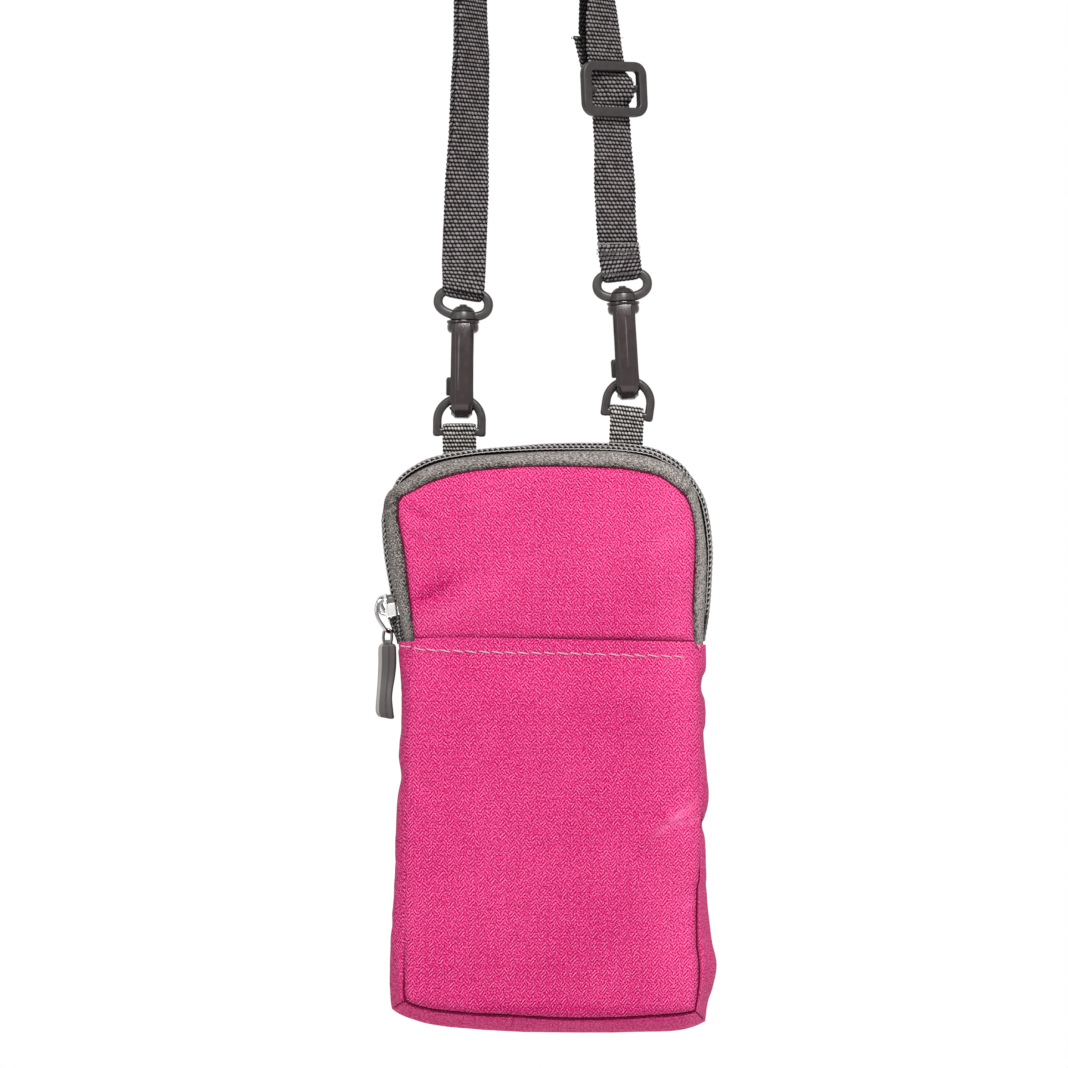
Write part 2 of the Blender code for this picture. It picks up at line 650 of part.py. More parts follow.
BAIL_TOP = sl(0, 3.5, 0.7)
bail_pivot = pivot("bail_pivot", BAIL_TOP)
b_low = at(385.0, 631.5, Y(ZIP))
side = Vector((0, 1, 0))
drop = (b_low - BAIL_TOP)
bow = Vector((-1, 0, 0))
loop = []
for w, t, n in ((-1.9, 0.0, 0), (-2.3, 0.12, 0.9), (-2.3, 0.5, 1.3), (-2.1, 0.85, 0.6), (-1.4, 1.0, 0), (1.4, 1.0, 0), (2.1, 0.85, 0.6), (2.3, 0.5, 1.3), (2.3, 0.12, 0.9), (1.9, 0.0, 0)):
    loop.append(BAIL_TOP + side * (w * MM) + drop * t + bow * (n * MM))
finish(wire(loop, 0.5 * MM, True), "pull_bail", (CHROME, 0.2, 1.0), bail_pivot)

tab_pivot = pivot("pull_tab_pivot", b_low)
link = []
link_low = Vector((b_low.x + 1.0 * MM, b_low.y, b_low.z - 3.9 * MM))
for x, z in ((-0.1, 1.15), (0.8, 0.8), (1.15, -0.2), (1.1, -3.4), (0.7, -3.9), (-0.3, -3.9), (-0.8, -3.4), (-1.1, -0.2), (-0.8, 0.8)):
    link.append(Vector((b_low.x + (x + (0.35 if z < -1 else 0.0)) * MM, b_low.y, b_low.z + z * MM)))
finish(wire(link, 0.45 * MM, True), "pull_link", (GUN, 0.35, 1.0), tab_pivot)
top_tab = Vector((b_low.x + 0.3 * MM, b_low.y, b_low.z - 4.75 * MM))
end_tab = at(385.5, 716, Y(ZIP))
length = (top_tab - end_tab).length
mid_tab = (top_tab + end_tab) / 2
bm = bmesh.new()
bmesh.ops.create_cube(bm, size=1.0)
for vtx in bm.verts:
    vtx.co = Vector((vtx.co.x * 5.2 * MM, vtx.co.y * 3.4 * MM, vtx.co.z * length))
tab = from_bmesh(bm)
tab.matrix_world = Matrix.Translation(mid_tab) @ Vector((0, 0, 1)).rotation_difference(top_tab - end_tab).to_matrix().to_4x4()
bevelled(tab, 1.2 * MM, 3, 40)
finish(tab, "pull_tab", (RUBBER, 0.6), tab_pivot)


# ================================================================ webbing tabs that carry the D-rings
def webbing_tab(name, foot, low_u, low_v):
    r = 1.2 * MM + 0.35 * MM + 0.6 * MM
    foot_low = at(low_u, low_v, 0)
    lean = Vector((1, 0, 0))
    pts = []
    y_end = 0.9 * MM
    z_in = foot.z - 2.7 * MM
    pts.append((Vector((foot_low.x, y_end - 0.8 * MM, foot_low.z)), lean))
    pts.append((Vector((foot_low.x * 0.5 + foot.x * 0.5, -1.05 * MM, z_in)), lean))
    for i in range(9):
        a = math.pi - math.pi * i / 8
        pts.append((foot + Vector((0, math.cos(a) * r, math.sin(a) * r)), lean))
    pts.append((Vector((foot_low.x * 0.5 + foot.x * 0.5, 1.3 * MM, z_in)), lean))
    pts.append((Vector((foot_low.x, y_end + 0.8 * MM, foot_low.z)), lean))
    finish(ribbon(pts, 9.6 * MM, 1.1 * MM), name, (GREY, 0.85))


webbing_tab("left_webbing_tab", left_foot, 459.5, 446.0)
webbing_tab("right_webbing_tab", right_foot, 627.5, 441.0)

# ================================================================ belt loop on the back
cx = at(553, 600, Y(14)).x
z_top, z_low = at(553, 560, Y(14)).z, at(553, 810, Y(14)).z
y0 = Y(13.5) + 0.3 * MM + 0.65 * MM
y1 = y0 + 5.2 * MM
prof = [(y0, z_top), (y0, z_top - 8 * MM), (y1, z_top - 17 * MM), (y1, z_low + 17 * MM), (y0, z_low + 8 * MM), (y0, z_low)]
finish(strip([[Vector((cx - 20 * MM, y, z)), Vector((cx + 20 * MM, y, z))] for y, z in prof], 1.3 * MM), "belt_loop", (WEB, 0.85))

bpy.context.view_layer.update()
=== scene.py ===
"""Looks of the belt pouch: fabric, webbing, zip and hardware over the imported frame, in metres."""
import math

import bmesh
import bpy
import numpy as np
from mathutils import Matrix, Vector
from mathutils.geometry import delaunay_2d_cdt


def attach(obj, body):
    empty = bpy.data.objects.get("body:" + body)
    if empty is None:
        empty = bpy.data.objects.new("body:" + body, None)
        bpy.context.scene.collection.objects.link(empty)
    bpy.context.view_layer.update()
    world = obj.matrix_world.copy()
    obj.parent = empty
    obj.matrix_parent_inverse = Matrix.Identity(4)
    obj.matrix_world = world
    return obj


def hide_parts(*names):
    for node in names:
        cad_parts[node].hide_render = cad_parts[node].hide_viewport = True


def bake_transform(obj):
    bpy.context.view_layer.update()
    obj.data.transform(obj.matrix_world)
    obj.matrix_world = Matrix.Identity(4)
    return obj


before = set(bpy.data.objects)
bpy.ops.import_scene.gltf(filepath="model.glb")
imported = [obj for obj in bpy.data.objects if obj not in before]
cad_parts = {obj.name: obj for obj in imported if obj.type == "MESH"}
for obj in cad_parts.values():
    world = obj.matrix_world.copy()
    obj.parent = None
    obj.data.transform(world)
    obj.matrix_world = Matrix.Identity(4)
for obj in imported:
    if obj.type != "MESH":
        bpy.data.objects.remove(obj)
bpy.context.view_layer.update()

MM = 0.001
UNIT = 0.29863 * MM
EYE = 1.25
ARCH = 16.0 * MM
TOP_V = -84.0
rng = np.random.RandomState(7)


# ---------------------------------------------------------------- places on the front elevation
def at(u, v, y=0.0):
    f = (EYE + y) / EYE
    return Vector(((534.0 - 535.5) * UNIT + (u - 534.0) * UNIT * f, y, -(534.0 - TOP_V) * UNIT - ARCH - (v - 534.0) * UNIT * f))


def at_n(u, v, y):
    u, v, y = np.broadcast_arrays(np.asarray(u, float), np.asarray(v, float), np.asarray(y, float))
    f = (EYE + y) / EYE
    return np.stack(((534.0 - 535.5) * UNIT + (u - 534.0) * UNIT * f, y, -(534.0 - TOP_V) * UNIT - ARCH - (v - 534.0) * UNIT * f), -1)


def Y(mm):
    return mm * MM + 1.2 * MM


def ramp01(x, a, b):
    t = np.clip((np.asarray(x, float) - a) / (b - a), 0, 1)
    return t * t * (3 - 2 * t)


def spline(points, step):
    """A Catmull-Rom curve through points (any dimension), resampled at an even step."""
    p = np.asarray(points, float)
    a = np.vstack((2 * p[0] - p[1], p, 2 * p[-1] - p[-2]))
    out = []
    for i in range(len(p) - 1):
        t = np.linspace(0, 1, 13)[:-1, None]
        b, c, d, e = a[i], a[i + 1], a[i + 2], a[i + 3]
        out.append(0.5 * (2 * c + (d - b) * t + (2 * b - 5 * c + 4 * d - e) * t**2 + (3 * c - 3 * d + e - b) * t**3))
    out.append(p[-1:])
    q = np.vstack(out)
    s = np.concatenate(([0], np.cumsum(np.linalg.norm(np.diff(q, axis=0), axis=1))))
    n = max(2, int(round(s[-1] / step)) + 1)
    w = np.linspace(0, s[-1], n)
    return np.stack([np.interp(w, s, q[:, k]) for k in range(q.shape[1])], -1)


def resample(q, n):
    q = np.asarray(q, float)
    s = np.concatenate(([0], np.cumsum(np.linalg.norm(np.diff(q, axis=0), axis=1))))
    w = np.linspace(0, s[-1], n)
    return np.stack([np.interp(w, s, q[:, k]) for k in range(q.shape[1])], -1)


def distance(P, line, closed=False):
    """Distance of points P (n, 2) from a polyline."""
    line = np.asarray(line, float)
    if closed:
        line = np.vstack((line, line[:1]))
    a, b = line[:-1], line[1:]
    ab = b - a
    L = np.maximum((ab**2).sum(1), 1e-12)
    out = np.empty(len(P))
    for k in range(0, len(P), 3000):
        q = P[k:k + 3000]
        t = np.clip(((q[:, None] - a) * ab).sum(2) / L, 0, 1)
        out[k:k + 3000] = np.sqrt((((a + t[..., None] * ab) - q[:, None]) ** 2).sum(2).min(1))
    return out


def hash_noise(x, y, seed=0):
    """Smooth value noise on a unit lattice."""
    def h(i, j):
        n = np.sin(i * 127.1 + j * 311.7 + seed * 74.7) * 43758.5453
        return n - np.floor(n)
    x, y = np.asarray(x, float), np.asarray(y, float)
    i, j = np.floor(x), np.floor(y)
    f, g = x - i, y - j
    f, g = f * f * (3 - 2 * f), g * g * (3 - 2 * g)
    return (h(i, j) * (1 - f) + h(i + 1, j) * f) * (1 - g) + (h(i, j + 1) * (1 - f) + h(i + 1, j + 1) * f) * g * 1.0 - 0.5


def crease(P, a, b, width, depth, ends=0.35):
    """A ridge (depth > 0) or valley along a-b, fading towards its ends."""
    a, b = np.asarray(a, float), np.asarray(b, float)
    ab = b - a
    L = np.linalg.norm(ab)
    t = ((P - a) @ ab) / L**2
    d = np.abs((P[:, 0] - a[0]) * ab[1] - (P[:, 1] - a[1]) * ab[0]) / L
    fade = ramp01(t, -ends, ends) * (1 - ramp01(t, 1 - ends, 1 + ends))
    return depth * np.exp(-((d / width) ** 2)) * fade


# ---------------------------------------------------------------- meshes
def build(name, verts, faces, mats, uv=None, index=None, smooth=True, auto=None):
    me = bpy.data.meshes.new(name)
    me.from_pydata([tuple(map(float, v)) for v in verts], [], [tuple(int(i) for i in f) for f in faces])
    for m in mats:
        me.materials.append(m)
    if index is not None:
        me.polygons.foreach_set("material_index", np.asarray(index, np.int32))
    me.polygons.foreach_set("use_smooth", [smooth] * len(me.polygons))
    if uv is not None:
        layer = me.uv_layers.new(name="UVMap")
        loops = np.empty(len(me.loops), np.int32)
        me.loops.foreach_get("vertex_index", loops)
        layer.data.foreach_set("uv", np.asarray(uv, np.float32)[loops].ravel())
    me.update()
    o = bpy.data.objects.new(name, me)
    bpy.context.scene.collection.objects.link(o)
    if auto is not None:
        sharp(o, auto)
    return o


def sharp(o, degrees):
    """Edges sharper than this stay crisp; the rest is smooth."""
    me = o.data
    bm = bmesh.new()
    bm.from_mesh(me)
    for e in bm.edges:
        e.smooth = not (len(e.link_faces) == 2 and e.calc_face_angle(0) > math.radians(degrees))
    for f in bm.faces:
        f.smooth = True
    bm.to_mesh(me)
    bm.free()
    return o


def grid_normals(P):
    du = np.gradient(P, axis=1)
    dv = np.gradient(P, axis=0)
    n = np.cross(dv, du)
    return n / np.maximum(np.linalg.norm(n, axis=2, keepdims=True), 1e-12)


def shell(name, P, uv, mats, thick, flip=False, inner=0):
    """A closed thin shell over a grid of points (rows, columns, 3); thickness goes against the outward normal."""
    n, m = P.shape[:2]
    N = grid_normals(P) * (-1 if flip else 1)
    Q = P - N * np.asarray(thick).reshape(1, -1, 1) if np.ndim(thick) == 1 else P - N * thick
    V = np.concatenate((P.reshape(-1, 3), Q.reshape(-1, 3)))
    i = np.arange(n * m).reshape(n, m)
    j = i + n * m
    a = np.stack((i[:-1, :-1], i[1:, :-1], i[1:, 1:], i[:-1, 1:]), -1).reshape(-1, 4)
    b = np.stack((j[:-1, :-1], j[:-1, 1:], j[1:, 1:], j[1:, :-1]), -1).reshape(-1, 4)
    if flip:
        a, b = a[:, ::-1], b[:, ::-1]
    rim = []
    ring = np.concatenate((i[0, :-1], i[:-1, -1], i[-1, :0:-1], i[:0:-1, 0]))
    for x, y in zip(ring, np.roll(ring, -1)):
        rim.append((x, y, y + n * m, x + n * m) if not flip else (x, x + n * m, y + n * m, y))
    F = np.concatenate((a, b, np.array(rim)))
    index = np.concatenate((np.zeros(len(a)), np.full(len(b), inner), np.zeros(len(rim))))
    UV = np.concatenate((uv.reshape(-1, 2), uv.reshape(-1, 2)))
    o = build(name, V, F, mats, UV, index)
    tidy(o)
    return o


def tidy(o):
    bm = bmesh.new()
    bm.from_mesh(o.data)
    bmesh.ops.recalc_face_normals(bm, faces=bm.faces)
    bm.to_mesh(o.data)
    bm.free()
    return o


def frames(C, up=None):
    """Tangent, side and up along a path, carried without twist."""
    C = np.asarray(C, float)
    T = np.gradient(C, axis=0)
    T /= np.maximum(np.linalg.norm(T, axis=1, keepdims=True), 1e-12)
    u = np.array(up if up is not None else (0, -1, 0), float)
    U = np.empty_like(C)
    for k in range(len(C)):
        u = u - T[k] * (u @ T[k])
        if np.linalg.norm(u) < 1e-6:
            u = np.array((1.0, 0.3, 0.2)) - T[k] * (np.array((1.0, 0.3, 0.2)) @ T[k])
        u = u / np.linalg.norm(u)
        U[k] = u
    return T, np.cross(T, U), U


def tube(name, C, section, mats, closed=False, up=None, scale=None, caps=True, auto=None):
    """A section (m, 2: side, up) swept along C."""
    C = np.asarray(C, float)
    if closed:
        ext = np.vstack((C[-3:], C, C[:3]))
        T, S, U = frames(ext, up)
        T, S, U = T[3:-3], S[3:-3], U[3:-3]
    else:
        T, S, U = frames(C, up)
    sec = np.asarray(section, float)
    k = np.ones(len(C)) if scale is None else np.asarray(scale, float)
    k = k if k.ndim == 2 else np.stack((k, k), -1)
    V = C[:, None] + S[:, None] * (sec[None, :, :1] * k[:, None, :1]) + U[:, None] * (sec[None, :, 1:] * k[:, None, 1:])
    n, m = len(C), len(sec)
    F = []
    for a in range(n if closed else n - 1):
        b = (a + 1) % n
        for c in range(m):
            d = (c + 1) % m
            F.append((a * m + c, a * m + d, b * m + d, b * m + c))
    if not closed and caps:
        F.append(tuple(range(m)))
        F.append(tuple(range((n - 1) * m, n * m))[::-1])
    s = np.concatenate(([0], np.cumsum(np.linalg.norm(np.diff(C, axis=0), axis=1))))
    around = np.concatenate(([0], np.cumsum(np.linalg.norm(np.diff(sec, axis=0), axis=1))))
    uv = np.stack((np.tile(around, n), np.repeat(s, m)), -1)
    o = build(name, V.reshape(-1, 3), F, mats, uv)
    tidy(o)
    if auto is not None:
        sharp(o, auto)
    return o


def circle(r, n=12, ry=None):
    a = np.arange(n) * 2 * np.pi / n
    return np.stack((np.cos(a) * r, np.sin(a) * (r if ry is None else ry)), -1)


def rounded_box(hx, hy, r, n=3):
    out = []
    for cx, cy, a0 in ((hx - r, hy - r, 0), (-(hx - r), hy - r, 90), (-(hx - r), -(hy - r), 180), (hx - r, -(hy - r), 270)):
        for i in range(n + 1):
            a = math.radians(a0 + 90 * i / n)
            out.append((cx + r * math.cos(a), cy + r * math.sin(a)))
    return np.array(out)


def joined(name, objects):
    """Several mesh objects as one."""
    bm = bmesh.new()
    mats = []
    for o in objects:
        me = o.data
        me.transform(o.matrix_world)
        remap = []
        for m in me.materials:
            if m not in mats:
                mats.append(m)
            remap.append(mats.index(m))
        for p in me.polygons:
            p.material_index = remap[p.material_index]
        bm.from_mesh(me)
    me = bpy.data.meshes.new(name)
    bm.to_mesh(me)
    bm.free()
    for m in mats:
        me.materials.append(m)
    for o in objects:
        bpy.data.objects.remove(o, do_unlink=True)
    o = bpy.data.objects.new(name, me)
    bpy.context.scene.collection.objects.link(o)
    return o


def lathe(name, profile, M, mats, sides=40, auto=40):
    """profile: (radius, height) in mm, turned about local Z and placed by M."""
    V, F = [], []
    for r, z in profile:
        for k in range(sides):
            a = 2 * math.pi * k / sides
            V.append(M @ Vector((r * MM * math.cos(a), r * MM * math.sin(a), z * MM)))
    for a in range(len(profile) - 1):
        for k in range(sides):
            l = (k + 1) % sides
            F.append((a * sides + k, a * sides + l, (a + 1) * sides + l, (a + 1) * sides + k))
    F.append(tuple(range(sides)))
    F.append(tuple(range((len(profile) - 1) * sides, len(profile) * sides)))
    o = tidy(build(name, V, F, mats))
    sharp(o, auto)
    return o


def plate(name, pts, half, M, mats, bevel=0.3, segments=2, auto=35, taper=None):
    """A flat outline (mm) in local XY, from -half to +half in local Z (mm), with rounded edges. taper(x, y) scales its width."""
    bm = bmesh.new()
    k = taper or (lambda x, y: 1.0)
    low = [bm.verts.new((x * MM, y * MM, -half * MM * k(x, y))) for x, y in pts]
    high = [bm.verts.new((x * MM, y * MM, half * MM * k(x, y))) for x, y in pts]
    bm.faces.new(low[::-1])
    bm.faces.new(high)
    n = len(pts)
    for a in range(n):
        b = (a + 1) % n
        bm.faces.new((low[a], low[b], high[b], high[a]))
    bmesh.ops.recalc_face_normals(bm, faces=bm.faces)
    if bevel:
        bm.edges.ensure_lookup_table()
        rim = [e for e in bm.edges if abs(e.verts[0].co.z - e.verts[1].co.z) < half * MM]
        bmesh.ops.bevel(bm, geom=rim, offset=bevel * MM, segments=segments, profile=0.5, affect="EDGES", clamp_overlap=True)
    me = bpy.data.meshes.new(name)
    bm.to_mesh(me)
    bm.free()
    me.transform(M)
    for m in mats:
        me.materials.append(m)
    o = bpy.data.objects.new(name, me)
    bpy.context.scene.collection.objects.link(o)
    tidy(o)
    sharp(o, auto)
    return o


# ---------------------------------------------------------------- materials
class Look:
    """A small node graph round one Principled shader."""

    def __init__(self, name, color=(0.5, 0.5, 0.5), rough=0.6, metal=0.0, **set_):
        self.m = bpy.data.materials.new(name)
        self.m.use_nodes = True
        self.t = self.m.node_tree
        self.b = self.t.nodes["Principled BSDF"]
        self.b.inputs["Base Color"].default_value = (*color, 1)
        self.b.inputs["Roughness"].default_value = rough
        self.b.inputs["Metallic"].default_value = metal
        for k, v in set_.items():
            self.b.inputs[k.replace("_", " ")].default_value = v
        self.m.diffuse_color = (*color, 1)

    def node(self, kind, **kw):
        n = self.t.nodes.new("ShaderNode" + kind)
        for k, v in kw.items():
            setattr(n, k, v)
        return n

    def wire(self, sock, v):
        if isinstance(v, bpy.types.NodeSocket):
            self.t.links.new(v, sock)
        elif v is not None:
            sock.default_value = v

    def math(self, op, a, b=None, c=None, clamp=False):
        n = self.node("Math", operation=op, use_clamp=clamp)
        for s, v in zip(n.inputs, (a, b, c)):
            self.wire(s, v)
        return n.outputs[0]

    def coords(self, uv=False):
        n = self.node("TexCoord")
        return n.outputs["UV" if uv else "Object"]

    def split(self, v):
        n = self.node("SeparateXYZ")
        self.wire(n.inputs[0], v)
        return n.outputs

    def join(self, x, y, z=0.0):
        n = self.node("CombineXYZ")
        for s, v in zip(n.inputs, (x, y, z)):
            self.wire(s, v)
        return n.outputs[0]

    def noise(self, v, scale, detail=2.0, rough=0.5, lacunarity=2.0):
        n = self.node("TexNoise")
        self.wire(n.inputs["Vector"], v)
        n.inputs["Scale"].default_value = scale
        n.inputs["Detail"].default_value = detail
        n.inputs["Roughness"].default_value = rough
        return n.outputs["Fac"] if "Fac" in n.outputs else n.outputs[0]

    def cells(self, v, scale, feature="F1", random=1.0):
        n = self.node("TexVoronoi", feature=feature)
        self.wire(n.inputs["Vector"], v)
        n.inputs["Scale"].default_value = scale
        n.inputs["Randomness"].default_value = random
        return n.outputs["Distance"]

    def ramp(self, f, *stops):
        n = self.node("ValToRGB")
        e = n.color_ramp.elements
        while len(e) < len(stops):
            e.new(0.5)
        for k, (p, c) in zip(e, stops):
            k.position = p
            k.color = (*c, 1) if len(c) == 3 else c
        self.wire(n.inputs[0], f)
        return n.outputs[0]

    def remap(self, v, a, b, c, d):
        n = self.node("MapRange")
        for s, x in zip(n.inputs, (v, a, b, c, d)):
            self.wire(s, x)
        return n.outputs[0]

    def mix(self, f, a, b, kind="MIX"):
        n = self.node("Mix", data_type="RGBA", blend_type=kind)
        self.wire(n.inputs[0], f)
        self.wire(n.inputs[6], a if isinstance(a, bpy.types.NodeSocket) else (*a, 1))
        self.wire(n.inputs[7], b if isinstance(b, bpy.types.NodeSocket) else (*b, 1))
        return n.outputs[2]

    def color(self, sock):
        self.t.links.new(sock, self.b.inputs["Base Color"])

    def rough(self, sock):
        self.t.links.new(sock, self.b.inputs["Roughness"])

    def bump(self, height, dist, strength=1.0):
        n = self.node("Bump")
        n.inputs["Strength"].default_value = strength
        n.inputs["Distance"].default_value = dist
        self.wire(n.inputs["Height"], height)
        old = self.b.inputs["Normal"].links
        if old:
            self.t.links.new(old[0].from_socket, n.inputs["Normal"])
        self.t.links.new(n.outputs[0], self.b.inputs["Normal"])


def herringbone(name, x, z, look, dark, mid, light, painted_light_and_grain=()):
    """Chevron twill: columns of slanted yarn floats that change direction every 1.5 mm. x and z are in metres."""
    k = look
    wob = k.noise(k.join(x, z), 700, 2)
    xs = k.math("ADD", x, k.math("ADD", k.math("MULTIPLY", k.math("SUBTRACT", wob, 0.5), 0.00050), 0.6))
    zig = k.math("PINGPONG", xs, 0.0015)
    turn = k.math("MODULO", k.math("FLOOR", k.math("DIVIDE", xs, 0.0015)), 2.0)
    ph = k.math("ADD", z, k.math("MULTIPLY", zig, 1.30))
    ph = k.math("ADD", ph, k.math("MULTIPLY", turn, 0.00064))
    ph = k.math("ADD", ph, k.math("MULTIPLY", k.math("SUBTRACT", k.noise(k.join(x, z), 640, 3), 0.5), 0.0013))
    s = k.math("MULTIPLY", ph, 2 * math.pi / 0.00129)
    # a second, finer order of floats, out of step from one column to the next
    column = k.math("FLOOR", k.math("DIVIDE", xs, 0.0015))
    own = k.noise(k.join(k.math("MULTIPLY", column, 7.31), k.math("MULTIPLY", z, 60.0)), 1.0, 1)
    s2 = k.math("ADD", k.math("MULTIPLY", k.math("ADD", z, zig), 2 * math.pi / 0.00098), k.math("MULTIPLY", own, 5.0))
    stroke = k.math("ADD", k.math("MULTIPLY", k.math("SINE", s), 0.25), k.math("MULTIPLY", k.math("SINE", s2), 0.18))
    # one slant catches more light than the other, which one depends on how the cloth leans
    side_on = k.math("ADD", 0.78, k.math("MULTIPLY", k.math("SUBTRACT", turn, 0.5), k.remap(z, -0.215, -0.315, -0.52, 0.50)))
    fade = k.math("ADD", 0.45, k.math("MULTIPLY", k.noise(k.join(x, z), 620, 2), 1.1))
    h = k.math("ADD", 0.5, k.math("MULTIPLY", k.math("MULTIPLY", stroke, side_on), fade))
    grain = k.noise(k.join(x, z), 2300, 3, 0.65)
    slub = k.noise(k.join(k.math("MULTIPLY", x, 120.0), k.math("MULTIPLY", z, 900.0)), 1.0, 2)
    slub2 = k.noise(k.join(k.math("MULTIPLY", x, 700.0), k.math("MULTIPLY", z, 90.0)), 1.0, 2)
    cloud = k.noise(k.join(x, z), 38, 2)
    f = k.math("ADD", k.math("MULTIPLY", h, 0.88), k.math("MULTIPLY", k.math("SUBTRACT", grain, 0.464), 2.2))
    f = k.math("ADD", f, k.math("MULTIPLY", k.math("SUBTRACT", slub, 0.5), 0.12))
    f = k.math("ADD", f, k.math("MULTIPLY", k.math("SUBTRACT", slub2, 0.5), 0.08))
    f = k.math("ADD", f, k.math("MULTIPLY", k.math("SUBTRACT", cloud, 0.5), 0.16))
    for more in painted_light_and_grain:
        f = k.math("ADD", f, more)
    f = k.math("ADD", f, 0.0, clamp=True)
    k.color(k.ramp(f, (0.14, dark), (0.50, mid), (0.90, light)))
    k.rough(k.remap(f, 0, 1, 0.78, 0.58))
    k.bump(k.math("ADD", h, k.math("MULTIPLY", grain, 0.35)), 0.00009, 0.7)
    return k


GAIN = 0.42  # albedo for a surface that the scene's light renders at 1.0


def lin(r, g, b, k=None):
    """sRGB 0-255 to linear, scaled to albedo."""
    k = GAIN if k is None else k
    return tuple(min(0.97, k * ((c / 255.0 / 12.92) if c / 255.0 <= 0.04045 else ((c / 255.0 + 0.055) / 1.055) ** 2.4)) for c in (r, g, b))


def painted_fold_light(k, x, z, front, a, b, width, amount):
    """A soft streak of painted highlight (amount > 0) or painted shade (amount < 0) along a fold, from a to b in
    picture units.
    """
    ax, az = (a[0] - 535.5) * UNIT, -(a[1] - TOP_V) * UNIT - ARCH
    bx, bz = (b[0] - 535.5) * UNIT, -(b[1] - TOP_V) * UNIT - ARCH
    far = math.hypot(bx - ax, bz - az)
    tx, tz = (bx - ax) / far, (bz - az) / far
    dx, dz = k.math("SUBTRACT", x, (ax + bx) / 2), k.math("SUBTRACT", z, (az + bz) / 2)
    along = k.math("ABSOLUTE", k.math("ADD", k.math("MULTIPLY", dx, tx), k.math("MULTIPLY", dz, tz)))
    over = k.math("ABSOLUTE", k.math("SUBTRACT", k.math("MULTIPLY", dx, tz), k.math("MULTIPLY", dz, tx)))
    soft = k.math("MULTIPLY", k.remap(along, far * 0.15, far * 0.62, 1.0, 0.0), k.remap(over, 0.0, width * UNIT, 1.0, 0.0))
    return k.math("MULTIPLY", k.math("MULTIPLY", k.math("MULTIPLY", soft, soft), front), amount)


def pink(name, uv=False):
    k = Look(name, lin(223, 66, 131), 0.75, Specular_IOR_Level=0.03)
    c = k.split(k.coords(uv))
    o = k.split(k.coords(False))
    if uv:
        ribs = k.noise(k.join(k.math("ADD", o[0], k.math("MULTIPLY", o[1], 0.12)), o[2]), 1500, 3, 0.65)
        # painted light: the side wall's far left and right lighter, added to the ribs of its yarn
        painted_light_and_grain = [k.math("MULTIPLY", k.math("SUBTRACT", ribs, 0.5), 1.05), k.remap(o[0], 0.043, 0.049, 0.0, 0.10), k.remap(o[0], -0.038, -0.044, 0.0, 0.05)]
    else:
        front = k.remap(o[1], -0.007, -0.002, 1.0, 0.0)
        # painted light: the upper part and both sides lighter, a painted sheen; then soft streaks of painted highlight
        # and painted shade along the folds, on front faces only
        painted_light_and_grain = [k.remap(o[2], -0.232, -0.205, 0.0, 0.045), k.remap(o[0], 0.030, 0.047, 0.0, 0.10), k.remap(o[0], -0.032, -0.041, 0.0, 0.05)]
        for a, b, wide, much in (((392, 616), (480, 562), 26, -0.17), ((412, 622), (500, 592), 16, 0.09), ((392, 500), (440, 520), 12, -0.08), ((400, 520), (436, 530), 10, 0.07),
                                 ((640, 842), (704, 786), 11, 0.30), ((662, 822), (706, 812), 8, 0.24), ((650, 800), (676, 830), 9, -0.08), ((676, 905), (697, 895), 8, 0.12),
                                 ((400, 545), (430, 552), 7, -0.07), ((640, 560), (696, 520), 22, 0.08), ((425, 1000), (690, 1004), 14, -0.10)):
            painted_light_and_grain.append(painted_fold_light(k, o[0], o[2], front, a, b, wide, much))
    herringbone(name, c[0], c[1] if uv else c[2], k, lin(136, 0, 60), lin(206, 23, 107), lin(252, 116, 173), painted_light_and_grain)
    return k.m


PINK = pink("pink_twill")
PINK_SIDE = pink("pink_twill_sides", True)


def tape_look(name, uv=True):
    """Grey knitted binding: rounded, with fine loops near the seam."""
    k = Look(name, lin(150, 143, 139), 0.8, Specular_IOR_Level=0.12)
    v = k.coords(uv)
    c = k.split(v)
    dots = k.cells(v, 1950, "F1", 0.7)
    fine = k.noise(v, 2500, 2)
    near = k.remap(c[0], 0.0004, 0.0044, 1.0, 0.40)
    loop = k.math("MULTIPLY", k.math("SUBTRACT", 0.52, dots), near)
    f = k.math("ADD", k.math("MULTIPLY", loop, 2.1), k.math("MULTIPLY", k.math("SUBTRACT", fine, 0.5), 1.5))
    # painted highlight: lighter towards the lip, where the rounded band faces up into the light
    f = k.math("ADD", f, k.remap(c[0], 0.0006, 0.0046, 0.15, 0.50))
    o = k.split(k.coords(False))
    # darker towards the left, lighter towards the right
    f = k.math("ADD", f, k.remap(o[0], -0.045, 0.045, -0.10, 0.04))
    # painted shade in the binding's two pinches, and a painted highlight on the lobe beside the right one
    for a, b, wide, much in (((674, 503), (692, 485), 7, -0.30), ((390, 490), (404, 504), 9, -0.26), ((664, 492), (684, 478), 7, 0.10)):
        f = k.math("ADD", f, painted_fold_light(k, o[0], o[2], k.remap(o[1], -0.007, -0.002, 1.0, 0.0), a, b, wide, much))
    f = k.math("ADD", f, k.math("MULTIPLY", k.math("SUBTRACT", k.noise(v, 90, 2), 0.5), 0.2), clamp=True)
    k.color(k.ramp(f, (0.0, lin(34, 30, 28)), (0.45, lin(122, 114, 110)), (0.9, lin(216, 210, 206))))
    k.bump(k.math("ADD", loop, k.math("MULTIPLY", fine, 0.6)), 0.00022, 0.9)
    return k.m


TAPE = tape_look("grey_binding")


